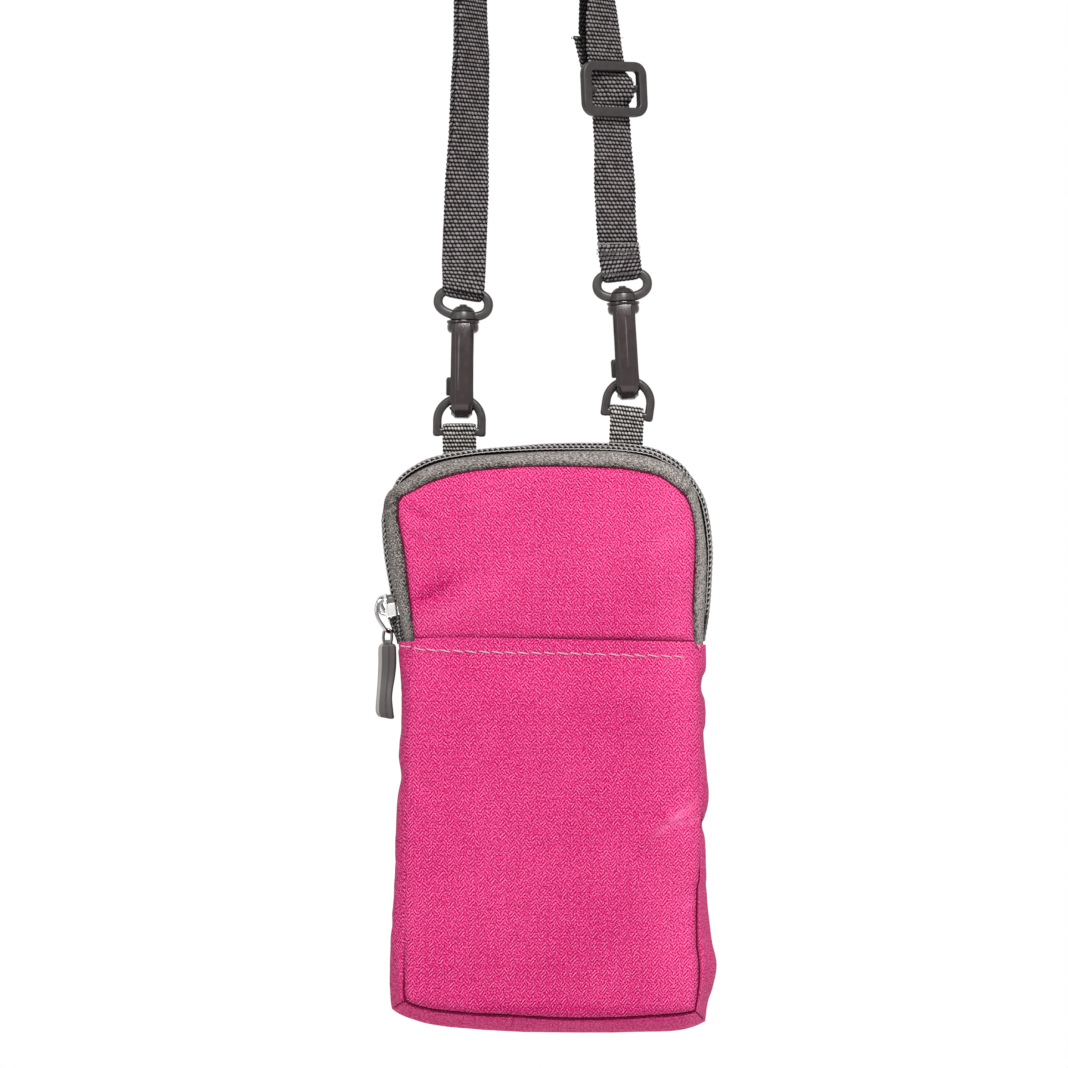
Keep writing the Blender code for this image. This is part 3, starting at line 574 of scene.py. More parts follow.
def web_look(name, dark, mid, light, row, speck, uv=True, contrast=1.0):
    """Flat woven webbing: rows of yarn floats, each row half a float along from its neighbours."""
    k = Look(name, mid, 0.75, Specular_IOR_Level=0.05)
    v = k.coords(uv)
    c = k.split(v)
    wob = k.math("MULTIPLY", k.math("SUBTRACT", k.noise(v, 420, 2), 0.5), 0.00035)
    y = k.math("DIVIDE", k.math("ADD", c[1], wob), row)
    n = k.math("FLOOR", y)
    fy = k.math("SUBTRACT", k.math("FRACT", y), 0.5)
    shift = k.math("MULTIPLY", k.math("MODULO", n, 2.0), 0.5)
    x = k.math("ADD", k.math("DIVIDE", k.math("ADD", c[0], wob), speck), k.math("ADD", shift, 0.0))
    fx = k.math("SUBTRACT", k.math("FRACT", k.math("ADD", x, k.math("MULTIPLY", fy, 0.35))), 0.5)
    d = k.math("SQRT", k.math("ADD", k.math("POWER", k.math("MULTIPLY", fx, 1.55), 2.0), k.math("POWER", k.math("MULTIPLY", fy, 1.9), 2.0)))
    bumpy = k.math("SUBTRACT", 1.0, d, clamp=True)
    fib = k.noise(k.join(k.math("MULTIPLY", c[0], 5200.0), k.math("MULTIPLY", c[1], 1500.0)), 1.0, 3, 0.6)
    rnd = k.noise(k.join(k.math("MULTIPLY", k.math("FLOOR", x), 3.7), k.math("MULTIPLY", n, 5.3)), 1.0, 0)
    f = k.math("MULTIPLY", k.math("POWER", bumpy, 0.8), k.math("ADD", 0.55, k.math("MULTIPLY", rnd, 0.75)))
    f = k.math("ADD", f, k.math("MULTIPLY", k.math("SUBTRACT", fib, 0.5), 0.55 * contrast), clamp=True)
    k.color(k.ramp(f, (0.05, dark), (0.34, mid), (0.70, light)))
    k.bump(k.math("ADD", bumpy, k.math("MULTIPLY", fib, 0.25)), 0.00035, 0.9)
    return k.m


STRAP = web_look("strap_weave", lin(2, 1, 1), lin(46, 41, 42), lin(154, 147, 148), 0.00120, 0.00122)
# painted shade: a darker copy of the strap's weave for the rear ply, which lies in shade
STRAP_SHADED = web_look("strap_weave_painted_shade", lin(1, 0, 0), lin(17, 14, 15), lin(52, 48, 49), 0.00120, 0.00122)
TABWEB = web_look("tab_weave", lin(2, 1, 1), lin(58, 53, 51), lin(212, 207, 203), 0.00120, 0.00096)
LOOPWEB = web_look("belt_loop_weave", lin(34, 30, 32), lin(88, 82, 84), lin(160, 154, 156), 0.0014, 0.0016)


def plastic_look(name, base, rough=0.42, grain=1.0):
    k = Look(name, base, rough, Specular_IOR_Level=0.34)
    v = k.coords()
    n = k.noise(v, 420, 3)
    fine = k.noise(v, 5200, 2)
    k.color(k.mix(k.remap(n, 0.3, 0.7, 0, 1), tuple(c * 0.86 for c in base), tuple(c * 1.16 for c in base)))
    k.rough(k.remap(k.math("ADD", n, k.math("MULTIPLY", fine, 0.5)), 0.4, 1.1, rough - 0.08, rough + 0.14))
    k.bump(k.math("ADD", k.math("MULTIPLY", n, 0.3), fine), 0.00002 * grain, 0.6)
    return k.m


HOOK = plastic_look("hook_moulded", lin(51, 40, 40), 0.17)
# painted highlight: a lighter plastic for a thin line down each hook's ridge, standing in for a glint
GLINT = plastic_look("hook_painted_glint", lin(112, 100, 100), 0.3)
RING = plastic_look("ring_moulded", lin(58, 53, 52), 0.34)
DRING = plastic_look("d_ring_moulded", lin(52, 45, 44), 0.3)
GLIDE = plastic_look("triglide_moulded", lin(48, 42, 42), 0.44, 1.4)
# painted shade: near-black plastic for the tri-glide's inner walls and back
SHADE = plastic_look("triglide_painted_shade", lin(20, 16, 16), 0.7)


def coil_look():
    """Nylon of the coil: pale where it is closed, dark below the slider where it lies open in its own shade."""
    k = Look("coil_nylon", lin(196, 189, 187), 0.34, Specular_IOR_Level=0.34)
    v = k.coords()
    o = k.split(k.coords(False))
    n = k.noise(v, 420, 3)
    low = k.remap(o[2], -(606 - TOP_V) * UNIT - ARCH, -(617 - TOP_V) * UNIT - ARCH, 0.0, 1.0)
    body = k.mix(k.remap(n, 0.3, 0.7, 0, 1), lin(182, 175, 173), lin(210, 203, 201))
    k.color(k.mix(low, body, lin(58, 48, 44)))
    k.bump(k.noise(v, 5200, 2), 0.00002, 0.6)
    return k.m


COIL = coil_look()
# painted shade: near-black, for the coil's core, the open coil below the slider and the tape under the lip
DEEP = plastic_look("coil_shadow", lin(14, 11, 11), 0.9)
CORE = plastic_look("coil_core", lin(34, 30, 29), 0.8)
STITCH_LOOK = Look("stitch_thread", lin(226, 158, 184), 0.6, Sheen_Weight=0.2)
_c = STITCH_LOOK.coords()
STITCH_LOOK.color(STITCH_LOOK.mix(STITCH_LOOK.noise(_c, 2400, 2), lin(170, 98, 130), lin(232, 188, 204)))
STITCH_LOOK.bump(STITCH_LOOK.noise(_c, 5000, 1), 0.00006, 0.8)
STITCH = STITCH_LOOK.m


def metal_look(name, base, rough):
    k = Look(name, base, rough, 1.0)
    v = k.coords()
    n = k.noise(v, 700, 3)
    k.rough(k.remap(n, 0.3, 0.7, max(0.04, rough - 0.05), rough + 0.07))
    k.color(k.mix(n, tuple(c * 0.94 for c in base), base))
    k.bump(k.noise(v, 1500, 2), 0.00001, 0.35)
    return k.m


CHROME = metal_look("bright_plating", (0.80, 0.79, 0.78), 0.14)
STEEL = metal_look("bail_plating", (0.34, 0.33, 0.325), 0.16)
GUN = metal_look("dark_plating", (0.17, 0.155, 0.15), 0.26)


def rubber_look(name, base):
    k = Look(name, base, 0.52, Specular_IOR_Level=0.45)
    v = k.coords()
    n = k.noise(v, 300, 3)
    fine = k.noise(v, 3800, 2)
    k.color(k.mix(n, tuple(c * 0.88 for c in base), tuple(c * 1.12 for c in base)))
    k.rough(k.remap(fine, 0.3, 0.7, 0.44, 0.62))
    k.bump(fine, 0.00003, 0.7)
    return k.m


RUBBER = rubber_look("pull_rubber_look", lin(68, 62, 60))
# painted highlight: a lighter rubber for the pull's left edge, where it catches the light
RUBBER_EDGE = rubber_look("pull_rubber_painted_highlight", lin(148, 144, 140))


def lining_look(name):
    k = Look(name, lin(104, 102, 104), 0.6, Sheen_Weight=0.1)
    c = k.split(k.coords())
    a = k.math("SINE", k.math("MULTIPLY", c[0], 2 * math.pi / 0.00042))
    b = k.math("SINE", k.math("MULTIPLY", c[2], 2 * math.pi / 0.00042))
    w = k.math("MULTIPLY", a, b)
    n = k.noise(k.coords(), 240, 3)
    f = k.math("ADD", k.math("MULTIPLY", w, 0.18), n)
    k.color(k.ramp(f, (0.2, lin(74, 72, 75)), (0.8, lin(130, 128, 130))))
    k.bump(f, 0.00008, 0.8)
    return k.m


LINING = lining_look("grey_lining")
GREY_THREAD = Look("grey_thread", lin(150, 146, 144), 0.6)
GREY_THREAD.color(GREY_THREAD.mix(GREY_THREAD.noise(GREY_THREAD.coords(), 2400, 2), lin(105, 101, 100), lin(190, 186, 183)))
GREY_THREAD.bump(GREY_THREAD.noise(GREY_THREAD.coords(), 5000, 1), 0.00006, 0.8)
GREY_THREAD = GREY_THREAD.m
STRAP_THREAD = Look("dark_thread", lin(60, 55, 56), 0.6)
STRAP_THREAD.color(STRAP_THREAD.mix(STRAP_THREAD.noise(STRAP_THREAD.coords(), 2400, 2), lin(36, 33, 34), lin(92, 87, 88)))
STRAP_THREAD = STRAP_THREAD.m


# ---------------------------------------------------------------- outlines of the pouch in elevation readings
LOW_LEFT = [(415, 638.5), (411.5, 646), (409.6, 660), (408.3, 700), (407, 745), (406.5, 787), (405.8, 830), (405, 895), (404.6, 935), (404.3, 971), (404.3, 990), (405.5, 1000.5)]
LOW_BOTTOM = [(405.5, 1000.5), (412, 1003.8), (423, 1007), (438.8, 1010), (478, 1013.5), (507.6, 1014.8), (553, 1017.4), (576, 1018), (618, 1017.4), (645, 1015.8), (672, 1014), (688, 1012), (694.8, 1010.5)]
LOW_RIGHT = [(694.5, 641.8), (697.2, 653), (698.2, 675), (698.2, 690), (699, 704), (699.6, 760), (700.6, 800), (700.2, 826), (699.6, 860), (698.6, 880), (696.8, 889), (696.2, 915), (696.4, 943), (698.6, 963), (698.4, 985), (694.8, 1010.5)]
SIL_LEFT = [(397.4, 641.2), (398.6, 652), (400.3, 666), (401.7, 700), (401.4, 730), (398.8, 755), (401.0, 776), (397.4, 798), (396.2, 822), (395.2, 852), (395.4, 873), (393, 909), (390.4, 948), (389.6, 971), (389.8, 990), (391.8, 1009)]
SIL_BOTTOM = [(391.8, 1009), (400, 1014), (410, 1018.4), (427, 1023.6), (450, 1027), (488, 1030), (530.5, 1032), (590, 1032.6), (640, 1032), (675, 1030.6), (692, 1027), (705.4, 1021.6)]
SIL_RIGHT = [(705.2, 644.6), (705.4, 668), (701.8, 677), (700.6, 684), (701.2, 691), (704.2, 701), (705.2, 722), (703.4, 735), (705, 755), (706.8, 774), (708.3, 799), (705.4, 815), (702.2, 826), (705.2, 840), (706.3, 870), (707.5, 902), (711.7, 939), (716, 958), (716.4, 970), (713, 987), (708.5, 1000), (706.3, 1012), (705.4, 1021.6)]
SEAM = [
    (414.5, 637), (412, 620), (408.5, 590), (406, 567), (403, 545), (399.5, 527), (397.8, 512), (398.3, 502), (403, 496),
    (412, 491.5), (426, 484), (449, 476), (473, 471), (497, 468.3), (528, 466.3), (560, 466), (590, 466.8), (619, 468.2),
    (643, 472), (660, 476.5), (673, 485), (682, 492.5), (688.5, 502), (692.5, 515), (694.8, 530), (695.3, 547),
    (694.8, 565), (693.5, 595), (693, 613), (694, 638),
]
LIP = [
    (404.5, 641), (401, 622), (394.5, 594), (390.2, 571), (387.4, 549), (386.1, 530), (384.9, 518), (383.7, 507), (387.0, 494.4), (394.0, 487.4),
    (404, 480.6), (419.5, 470.6), (443, 461.6), (473, 456.4), (500, 454.3), (530, 452.3), (560, 451.3), (593, 450.9), (622, 452.0),
    (649, 457.0), (671, 465.6), (685, 474), (690.8, 481.8), (696.2, 493), (700.6, 509), (704.2, 530), (706.2, 550),
    (706.4, 570), (705.2, 598), (704.4, 615), (702.6, 643),
]
CREST = [(401.6, 643.4)] + [(401.0 + (384.5 - 401.0) * t, 640 + (525 - 640) * t) for t in (0, 0.2, 0.4, 0.6, 0.8, 1.0)] + [
    (383, 511), (385, 499), (391, 487), (402, 475), (420, 464.5), (442, 456.5), (478, 450.5), (516, 447.5), (560, 446),
    (613, 446.5), (648, 450), (668, 458), (683, 467), (693, 478), (701, 492), (705.5, 507), (708.5, 527), (710.3, 550),
    (709.8, 570), (707.5, 610), (704, 641),
]
BACK_SEAM = [
    (406, 640), (402, 600), (398, 560), (394, 520), (394, 502), (400, 492), (414, 483), (440, 473), (473, 467), (528, 463),
    (580, 463), (630, 466), (662, 473), (680, 483), (693, 500), (699, 522), (700.5, 550), (699, 600), (697, 641),
]

left_line, bottom_line, right_line = spline(LOW_LEFT, 1.2), spline(LOW_BOTTOM, 1.2), spline(LOW_RIGHT, 1.2)
low_seam = np.vstack((left_line, bottom_line[1:], right_line[::-1][1:]))
mouth_line = spline([(694.5, 641.8), (640, 640.9), (553, 639.0), (484, 637.6), (440, 637.6), (415, 638.5)], 1.2)
seam_line = spline(SEAM, 1.0)


# ---------------------------------------------------------------- heights of the padded fronts (y in metres, from readings)
def seam_y(v):
    """Depth of the pocket's side seams: pulled back where the mouth meets the upper front."""
    return Y(-18.0) + 3.6 * MM * (1 - ramp01(v, 636, 706))


def seam_depth(P):
    """1 where the pocket's seam is sunk and shows as a dark line, 0 where cloth rounds smoothly over it."""
    u, v = P[:, 0], P[:, 1]
    return np.clip(ramp01(v, 925, 1000) + (u > 600) * ramp01(v, 838, 900), 0, 1)


def low_wrinkles(P):
    w = crease(P, (640, 840), (696, 790), 5.0, 0.85) + crease(P, (652, 850), (697, 812), 7.0, -0.16)
    w += crease(P, (664, 821), (702, 814), 3.8, 0.75) + crease(P, (684, 828), (702, 832), 5.0, -0.20)
    w += crease(P, (625, 856), (668, 824), 6.0, 0.22) + crease(P, (663, 806), (694, 778), 4.5, -0.26)
    w += crease(P, (402, 776), (438, 792), 6.0, -0.40) + crease(P, (410, 800), (446, 824), 8.0, 0.28)
    w += crease(P, (402, 690), (430, 676), 7.0, -0.22) + crease(P, (403, 842), (424, 862), 7.0, -0.25)
    w += crease(P, (700, 888), (672, 900), 5.0, -0.32) + crease(P, (700, 930), (670, 965), 7.0, 0.28)
    w += crease(P, (424, 1006), (440, 930), 11.0, 0.30) + crease(P, (470, 1012), (478, 958), 8.0, -0.20)
    w += crease(P, (560, 1018), (566, 968), 10.0, -0.24) + crease(P, (640, 1016), (636, 962), 9.0, -0.22) + crease(P, (600, 1018), (600, 975), 9.0, 0.2)
    w += crease(P, (470, 655), (476, 740), 16.0, 0.22) + crease(P, (634, 655), (620, 760), 20.0, 0.20)
    w += 0.55 * hash_noise(P[:, 0] / 70 + 3, P[:, 1] / 95, 1) + 0.30 * hash_noise(P[:, 0] / 28, P[:, 1] / 34, 2)
    w += 0.10 * hash_noise(P[:, 0] / 9, P[:, 1] / 11, 5)
    return 1.35 * w


def low_y(P):
    """Front face of the pocket."""
    P = np.asarray(P, float)
    d = distance(P, low_seam)
    roll = np.clip(d / 15.0, 0, 1)
    v = P[:, 1]
    sewn_deep = seam_depth(P)
    roll = np.sqrt(np.clip(1 - (1 - roll) ** 2.4, 0, 1)) * sewn_deep + (1 - (1 - roll) ** 2) * (1 - sewn_deep)
    crown = 1 - (1 - np.clip(d / 120.0, 0, 1)) ** 2
    groove = 0.8 * np.exp(-((d / 2.0) ** 2)) * sewn_deep
    hem = 0.35 * (1 - ramp01(v, 648, 656)) * ramp01(v, 636, 637.5)
    return seam_y(v) - (2.0 * roll + 1.5 * crown + low_wrinkles(P) * np.clip(d / 12.0, 0.15, 1) * ramp01(v, 640, 664) + hem - groove) * MM


def up_wrinkles(P):
    w = crease(P, (406, 607), (446, 591), 5.5, -0.62) + crease(P, (418, 612), (478, 590), 10.0, 0.40)
    w += crease(P, (440, 600), (520, 588), 12.0, 0.18)
    w += crease(P, (664, 566), (697, 600), 5.0, 0.42) + crease(P, (660, 588), (690, 612), 6.0, -0.26) + crease(P, (676, 556), (698, 574), 4.0, -0.22)
    w += crease(P, (398, 505), (424, 516), 4.0, -0.36) + crease(P, (400, 520), (430, 528), 4.5, 0.28) + crease(P, (402, 534), (425, 548), 5.0, -0.24)
    w += crease(P, (690, 500), (668, 520), 6.0, 0.26) + crease(P, (694, 520), (672, 545), 6.0, -0.22)
    w += crease(P, (470, 472), (482, 520), 10.0, 0.24) + crease(P, (560, 467), (562, 512), 13.0, -0.20) + crease(P, (630, 470), (622, 512), 10.0, 0.22)
    w += 0.60 * hash_noise(P[:, 0] / 64 + 9, P[:, 1] / 72, 3) + 0.28 * hash_noise(P[:, 0] / 26, P[:, 1] / 30, 4)
    w += 0.10 * hash_noise(P[:, 0] / 9, P[:, 1] / 11, 6)
    return 1.35 * w


def up_y(P):
    """Front face of the upper front, which goes on down behind the pocket."""
    P = np.asarray(P, float)
    d = distance(P, seam_line)
    roll = np.clip(d / 13.0, 0, 1)
    roll = np.sqrt(np.clip(1 - (1 - roll) ** 2.4, 0, 1))
    crown = 1 - (1 - np.clip(d / 85.0, 0, 1)) ** 2
    v = P[:, 1]
    face = Y(-13.0) - (1.7 * roll + 2.0 * crown + up_wrinkles(P) * np.clip(d / 12.0, 0.2, 1) - 0.5 * np.exp(-((d / 2.0) ** 2))) * MM
    behind = ramp01(v, 634, 652)
    return face * (1 - behind) + Y(-13.6) * behind


def panel(name, line, y_of, mats, step=2.2, rim=1.2, thick=0.8, inner=0, back_y=None, closed_rim=True):
    """A sewn panel inside a closed outline, its edge turned back to its inner face (the rim argument is not used);
    inner face thick mm behind (or at back_y).
    """
    line = np.asarray(line, float)
    if np.linalg.norm(line[0] - line[-1]) < 0.3:
        line = line[:-1]
    lo, hi = line.min(0), line.max(0)
    gx, gy = np.meshgrid(np.arange(lo[0], hi[0], step), np.arange(lo[1], hi[1], step))
    gx[1::2] += step / 2
    G = np.stack((gx.ravel(), gy.ravel()), -1)
    a, b = line, np.roll(line, -1, 0)
    inside = np.zeros(len(G), bool)
    for p, q in zip(a, b):
        if p[1] != q[1]:
            cross = (p[1] > G[:, 1]) != (q[1] > G[:, 1])
            inside ^= cross & (G[:, 0] < (q[0] - p[0]) * (G[:, 1] - p[1]) / (q[1] - p[1]) + p[0])
    G = G[inside]
    G = G[distance(G, line, True) > 0.55 * step]
    pts = np.vstack((line, G))
    out = delaunay_2d_cdt([Vector(p) for p in pts], [], [list(range(len(line)))], 1, 1e-6)
    P = np.array([tuple(p) for p in out[0]])
    F = np.array([f for f in out[2]])
    y = y_of(P)
    outer = at_n(P[:, 0], P[:, 1], y)
    iy = y + thick * MM if back_y is None else np.maximum(np.full(len(y), back_y), y + 0.3 * MM)
    within = at_n(P[:, 0], P[:, 1], iy)
    n = len(P)
    edges = {}
    for f in F:
        for i in range(3):
            e = (f[i], f[(i + 1) % 3])
            edges[e] = True
    loop = [e for e in edges if (e[1], e[0]) not in edges]
    V = [outer, within]
    Fs = [tuple(f) for f in F] + [tuple(int(k) + n for k in f[::-1]) for f in F]
    index = [0] * len(F) + [inner] * len(F)
    # the rounded edge: one extra ring between the faces
    ids = sorted({i for e in loop for i in e})
    pos = {i: k for k, i in enumerate(ids)}
    E = P[ids]
    mid = at_n(E[:, 0], E[:, 1], y[ids] * 0.55 + iy[ids] * 0.45)
    V.append(mid)
    for i, j in loop:
        m0, m1 = 2 * n + pos[i], 2 * n + pos[j]
        Fs.append((j, i, m0, m1))
        Fs.append((m1, m0, i + n, j + n))
        index += [0, 0]
    V = np.vstack(V)
    uv = np.vstack((P, P, E)) * UNIT
    o = build(name, V, Fs, mats, uv, index)
    return tidy(o)


def put(o, body, *nodes, slot=None):
    if nodes:
        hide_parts(*nodes)
    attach(o, body)
    return o


# ---------------------------------------------------------------- the two fronts
pocket = panel("pocket_front", np.vstack((low_seam, mouth_line[1:])), low_y, [PINK, LINING], 2.2, thick=0.9, inner=1)
put(pocket, "pouch", "pocket_panel", slot="pink")

below = [(694, 638), (693.5, 648), (692, 658), (660, 659), (553, 658), (450, 657), (416, 656), (414.5, 646), (414.5, 637)]
upper_outline = np.vstack((seam_line, spline(below[:3], 1.5)[1:], spline(below[2:7], 2.0)[1:], spline(below[6:], 1.5)[1:]))
upper_front = panel("upper_front", upper_outline, up_y, [PINK, LINING], 2.2, thick=0.8, inner=1, back_y=Y(-9.9))
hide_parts("front_panel_upper", "front_padding_upper", "front_lining_upper")
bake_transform(upper_front)


def shrunk(line, d):
    """A closed outline moved inwards by d units."""
    line = np.asarray(line, float)
    if np.linalg.norm(line[0] - line[-1]) < 0.3:
        line = line[:-1]
    t = np.roll(line, -1, 0) - np.roll(line, 1, 0)
    t /= np.linalg.norm(t, axis=1, keepdims=True)
    n = np.stack((-t[:, 1], t[:, 0]), -1)
    area = (line[:, 0] * np.roll(line[:, 1], -1) - np.roll(line[:, 0], -1) * line[:, 1]).sum()
    return line + n * (d if area > 0 else -d)


wall_line = np.vstack((low_seam, mouth_line[1:]))
wall_line[:, 1] = np.maximum(wall_line[:, 1], 644.5)
wall_line = resample(np.vstack((wall_line, wall_line[:1])), 420)
wall = panel("wall_behind_pocket", shrunk(wall_line, 7.5), lambda P: Y(-13.2) - 0.4 * MM * np.clip(distance(P, low_seam) / 60, 0, 1), [PINK, LINING], 5.0, inner=1, back_y=Y(-9.8))
put(wall, "pouch", "front_panel_lower", "front_padding_lower", "front_lining_lower", slot="pink")

# ---------------------------------------------------------------- side and bottom wall
CENTRE = np.array((0.0053, 0.0, -0.262))


def outward(P):
    """True where a grid's normals point away from the middle of the pouch."""
    return ((P - CENTRE) * grid_normals(P) * np.array((1, 0.35, 1))).sum() > 0


def parts3(a, b, c, n):
    return np.vstack((resample(spline(a, 1.0), n[0]), resample(spline(b, 1.0), n[1])[1:], resample(spline(c, 1.0)[::-1], n[2])[1:]))


counts = (150, 170, 160)
gf = parts3([(414.0, 641.3)] + LOW_LEFT[1:], LOW_BOTTOM, [(694.6, 644.2)] + LOW_RIGHT[1:], counts)
gm = parts3([(398.9, 641.6), (399.5, 650)] + SIL_LEFT[1:], SIL_BOTTOM, SIL_RIGHT, counts)
gb = parts3([(405.5, 644)] + LOW_LEFT[3:], LOW_BOTTOM, [(697, 646)] + LOW_RIGHT[2:], counts)
out_dir = gm - gf
out_dir /= np.linalg.norm(out_dir, axis=1, keepdims=True)
arc = np.concatenate(([0], np.cumsum(np.linalg.norm(np.diff(gm, axis=0), axis=1))))
corner1, corner2 = arc[counts[0] - 1], arc[counts[0] + counts[1] - 2]
deep = seam_depth(gf)
yf = seam_y(gf[:, 1])
cols, tt = [], []
cols.append(np.concatenate((gf - out_dir * (2.2 - 0.4 * deep)[:, None], (yf + (0.55 + 1.9 * deep) * MM)[:, None]), 1)); tt.append(-0.10)
cols.append(np.concatenate((gf + out_dir * (-0.3 + 0.8 * deep)[:, None], (yf + (0.10 + 1.6 * deep) * MM)[:, None]), 1)); tt.append(-0.04)
for t in np.linspace(0.03, 1, 17):
    c = math.sin(t * math.pi / 2) ** 0.82 * deep + (1 - (1 - t) ** 4.5) * (1 - deep)
    y = (yf + 0.15 * MM) * (1 - t) + Y(-4.0) * t + (1.5 * math.exp(-((t / 0.055) ** 2)) - 0.9 * math.exp(-(((t - 0.16) / 0.10) ** 2))) * MM * deep
    cols.append(np.concatenate((gf + (gm - gf) * c[:, None], y[:, None]), 1)); tt.append(t)
for t in np.linspace(0, 1, 16)[1:]:
    c = 1 - math.cos(t * math.pi / 2)
    y = Y(-4.0) * (1 - t) + Y(12.3) * t
    cols.append(np.concatenate((gm + (gb - gm) * c, np.full((len(gm), 1), y)), 1)); tt.append(1 + t)
tt = np.array(tt)
UVY = np.stack(cols, 1)
free = np.sin(np.clip(tt / 2, 0, 1) * math.pi) ** 0.7
sil = 1 - 0.75 * np.exp(-(((tt - 1) / 0.28) ** 2))
w = 2.6 * hash_noise(arc[:, None] / 26 + tt[None] * 0.8, tt[None] * 2.3 + 5, 11) + 1.5 * hash_noise(arc[:, None] / 11, tt[None] * 4.1, 12)
w = w * free[None] * sil[None]
for c0, s in ((corner1, 2.6), (corner2, 2.6)):
    w -= 1.7 * np.exp(-(((arc[:, None] - c0) / s) ** 2)) * np.clip(1.3 - tt[None], 0, 1) * free[None] ** 0.3
    w += 0.8 * np.exp(-(((np.abs(arc[:, None] - c0) - 7) / 5.0) ** 2)) * np.clip(1.2 - tt[None], 0, 1) * free[None]
for v0, side, dep, wid in ((776, 0, 1.3, 4.0), (826, 1, 2.2, 3.2), (735, 1, 1.2, 4.0), (886, 1, 1.5, 4.0), (690, 0, 0.9, 5.0), (860, 0, 0.9, 5.0), (925, 0, 0.8, 6.0)):
    on = (gm[:, 0] > 550) if side else (gm[:, 0] < 550)
    s0 = arc[np.argmin(np.abs(gm[:, 1] - v0) + 1e4 * ~on)]
    w -= dep * np.exp(-(((arc[:, None] - s0 - 10 * (tt[None] - 0.8)) / wid) ** 2)) * np.exp(-(((tt[None] - 0.55) / 0.6) ** 2))
UVY[..., :2] += out_dir[:, None] * w[..., None]
P = at_n(UVY[..., 0], UVY[..., 1], UVY[..., 2])
across = np.concatenate(([0], np.cumsum(np.linalg.norm(np.diff(P, axis=1), axis=2).mean(0))))
guv = np.stack(np.broadcast_arrays(across[None], (arc * UNIT)[:, None]), -1)
gusset = shell("side_wall", P, guv, [PINK_SIDE, LINING], 0.9 * MM, flip=not outward(P), inner=1)
put(gusset, "pouch", "gusset", slot="pink")

# painted shade: a dark finish for the tube along the pocket's mouth, standing in for the shade in the gap under its hem
EDGE_SHADE = Look("pocket_edge_painted_shade", lin(150, 10, 66), 0.9, Specular_IOR_Level=0.03)
EDGE_SHADE.color(EDGE_SHADE.mix(EDGE_SHADE.noise(EDGE_SHADE.coords(), 900, 2), lin(112, 4, 46), lin(156, 14, 72)))
EDGE_SHADE = EDGE_SHADE.m
# painted shade: a dark finish for tubes laid in the seams' valleys and the bottom corners, for the shade in those
# creases
CREASE = Look("crease_painted_shade", lin(112, 8, 44), 0.9, Specular_IOR_Level=0.05)
CREASE.color(CREASE.mix(CREASE.noise(CREASE.coords(), 900, 2), lin(74, 2, 26), lin(140, 14, 60)))
CREASE = CREASE.m
# painted shade: dark tubes along the sunk seam and up the two bottom corners
on = np.where(deep > 0.06)[0]
seam_path = at_n(gf[on, 0] + 0.25 * out_dir[on, 0], gf[on, 1] + 0.25 * out_dir[on, 1], yf[on] + (0.55 + 0.25 * hash_noise(arc[on] / 9, arc[on] * 0, 61)) * MM)
creases = [tube("crease", seam_path, circle(0.30 * MM, 8), [CREASE], up=(0, -1, 0), scale=0.25 + 0.75 * deep[on] * (0.85 + 0.5 * hash_noise(arc[on] / 14, arc[on] * 0, 62)))]
for row in (counts[0] - 1, counts[0] + counts[1] - 2):
    path_ = P[row, 2:13] + np.array((0, 0.05 * MM, 0))
    creases.append(tube("crease", spline(path_, 0.4 * MM), circle(0.18 * MM, 8), [CREASE], up=(0, -1, 0)))
put(joined("seam_crease", creases), "pouch")

# ---------------------------------------------------------------- grey bindings beside the coils
PAIRS = [(417, 652, 407.5, 655)] + [(*s_, *l_) for s_, l_ in zip(SEAM, LIP)] + [(693.0, 652, 702.5, 656)]
pair = spline(np.array(PAIRS, float), 1.6)
ZIP_Y = Y(-3.5)


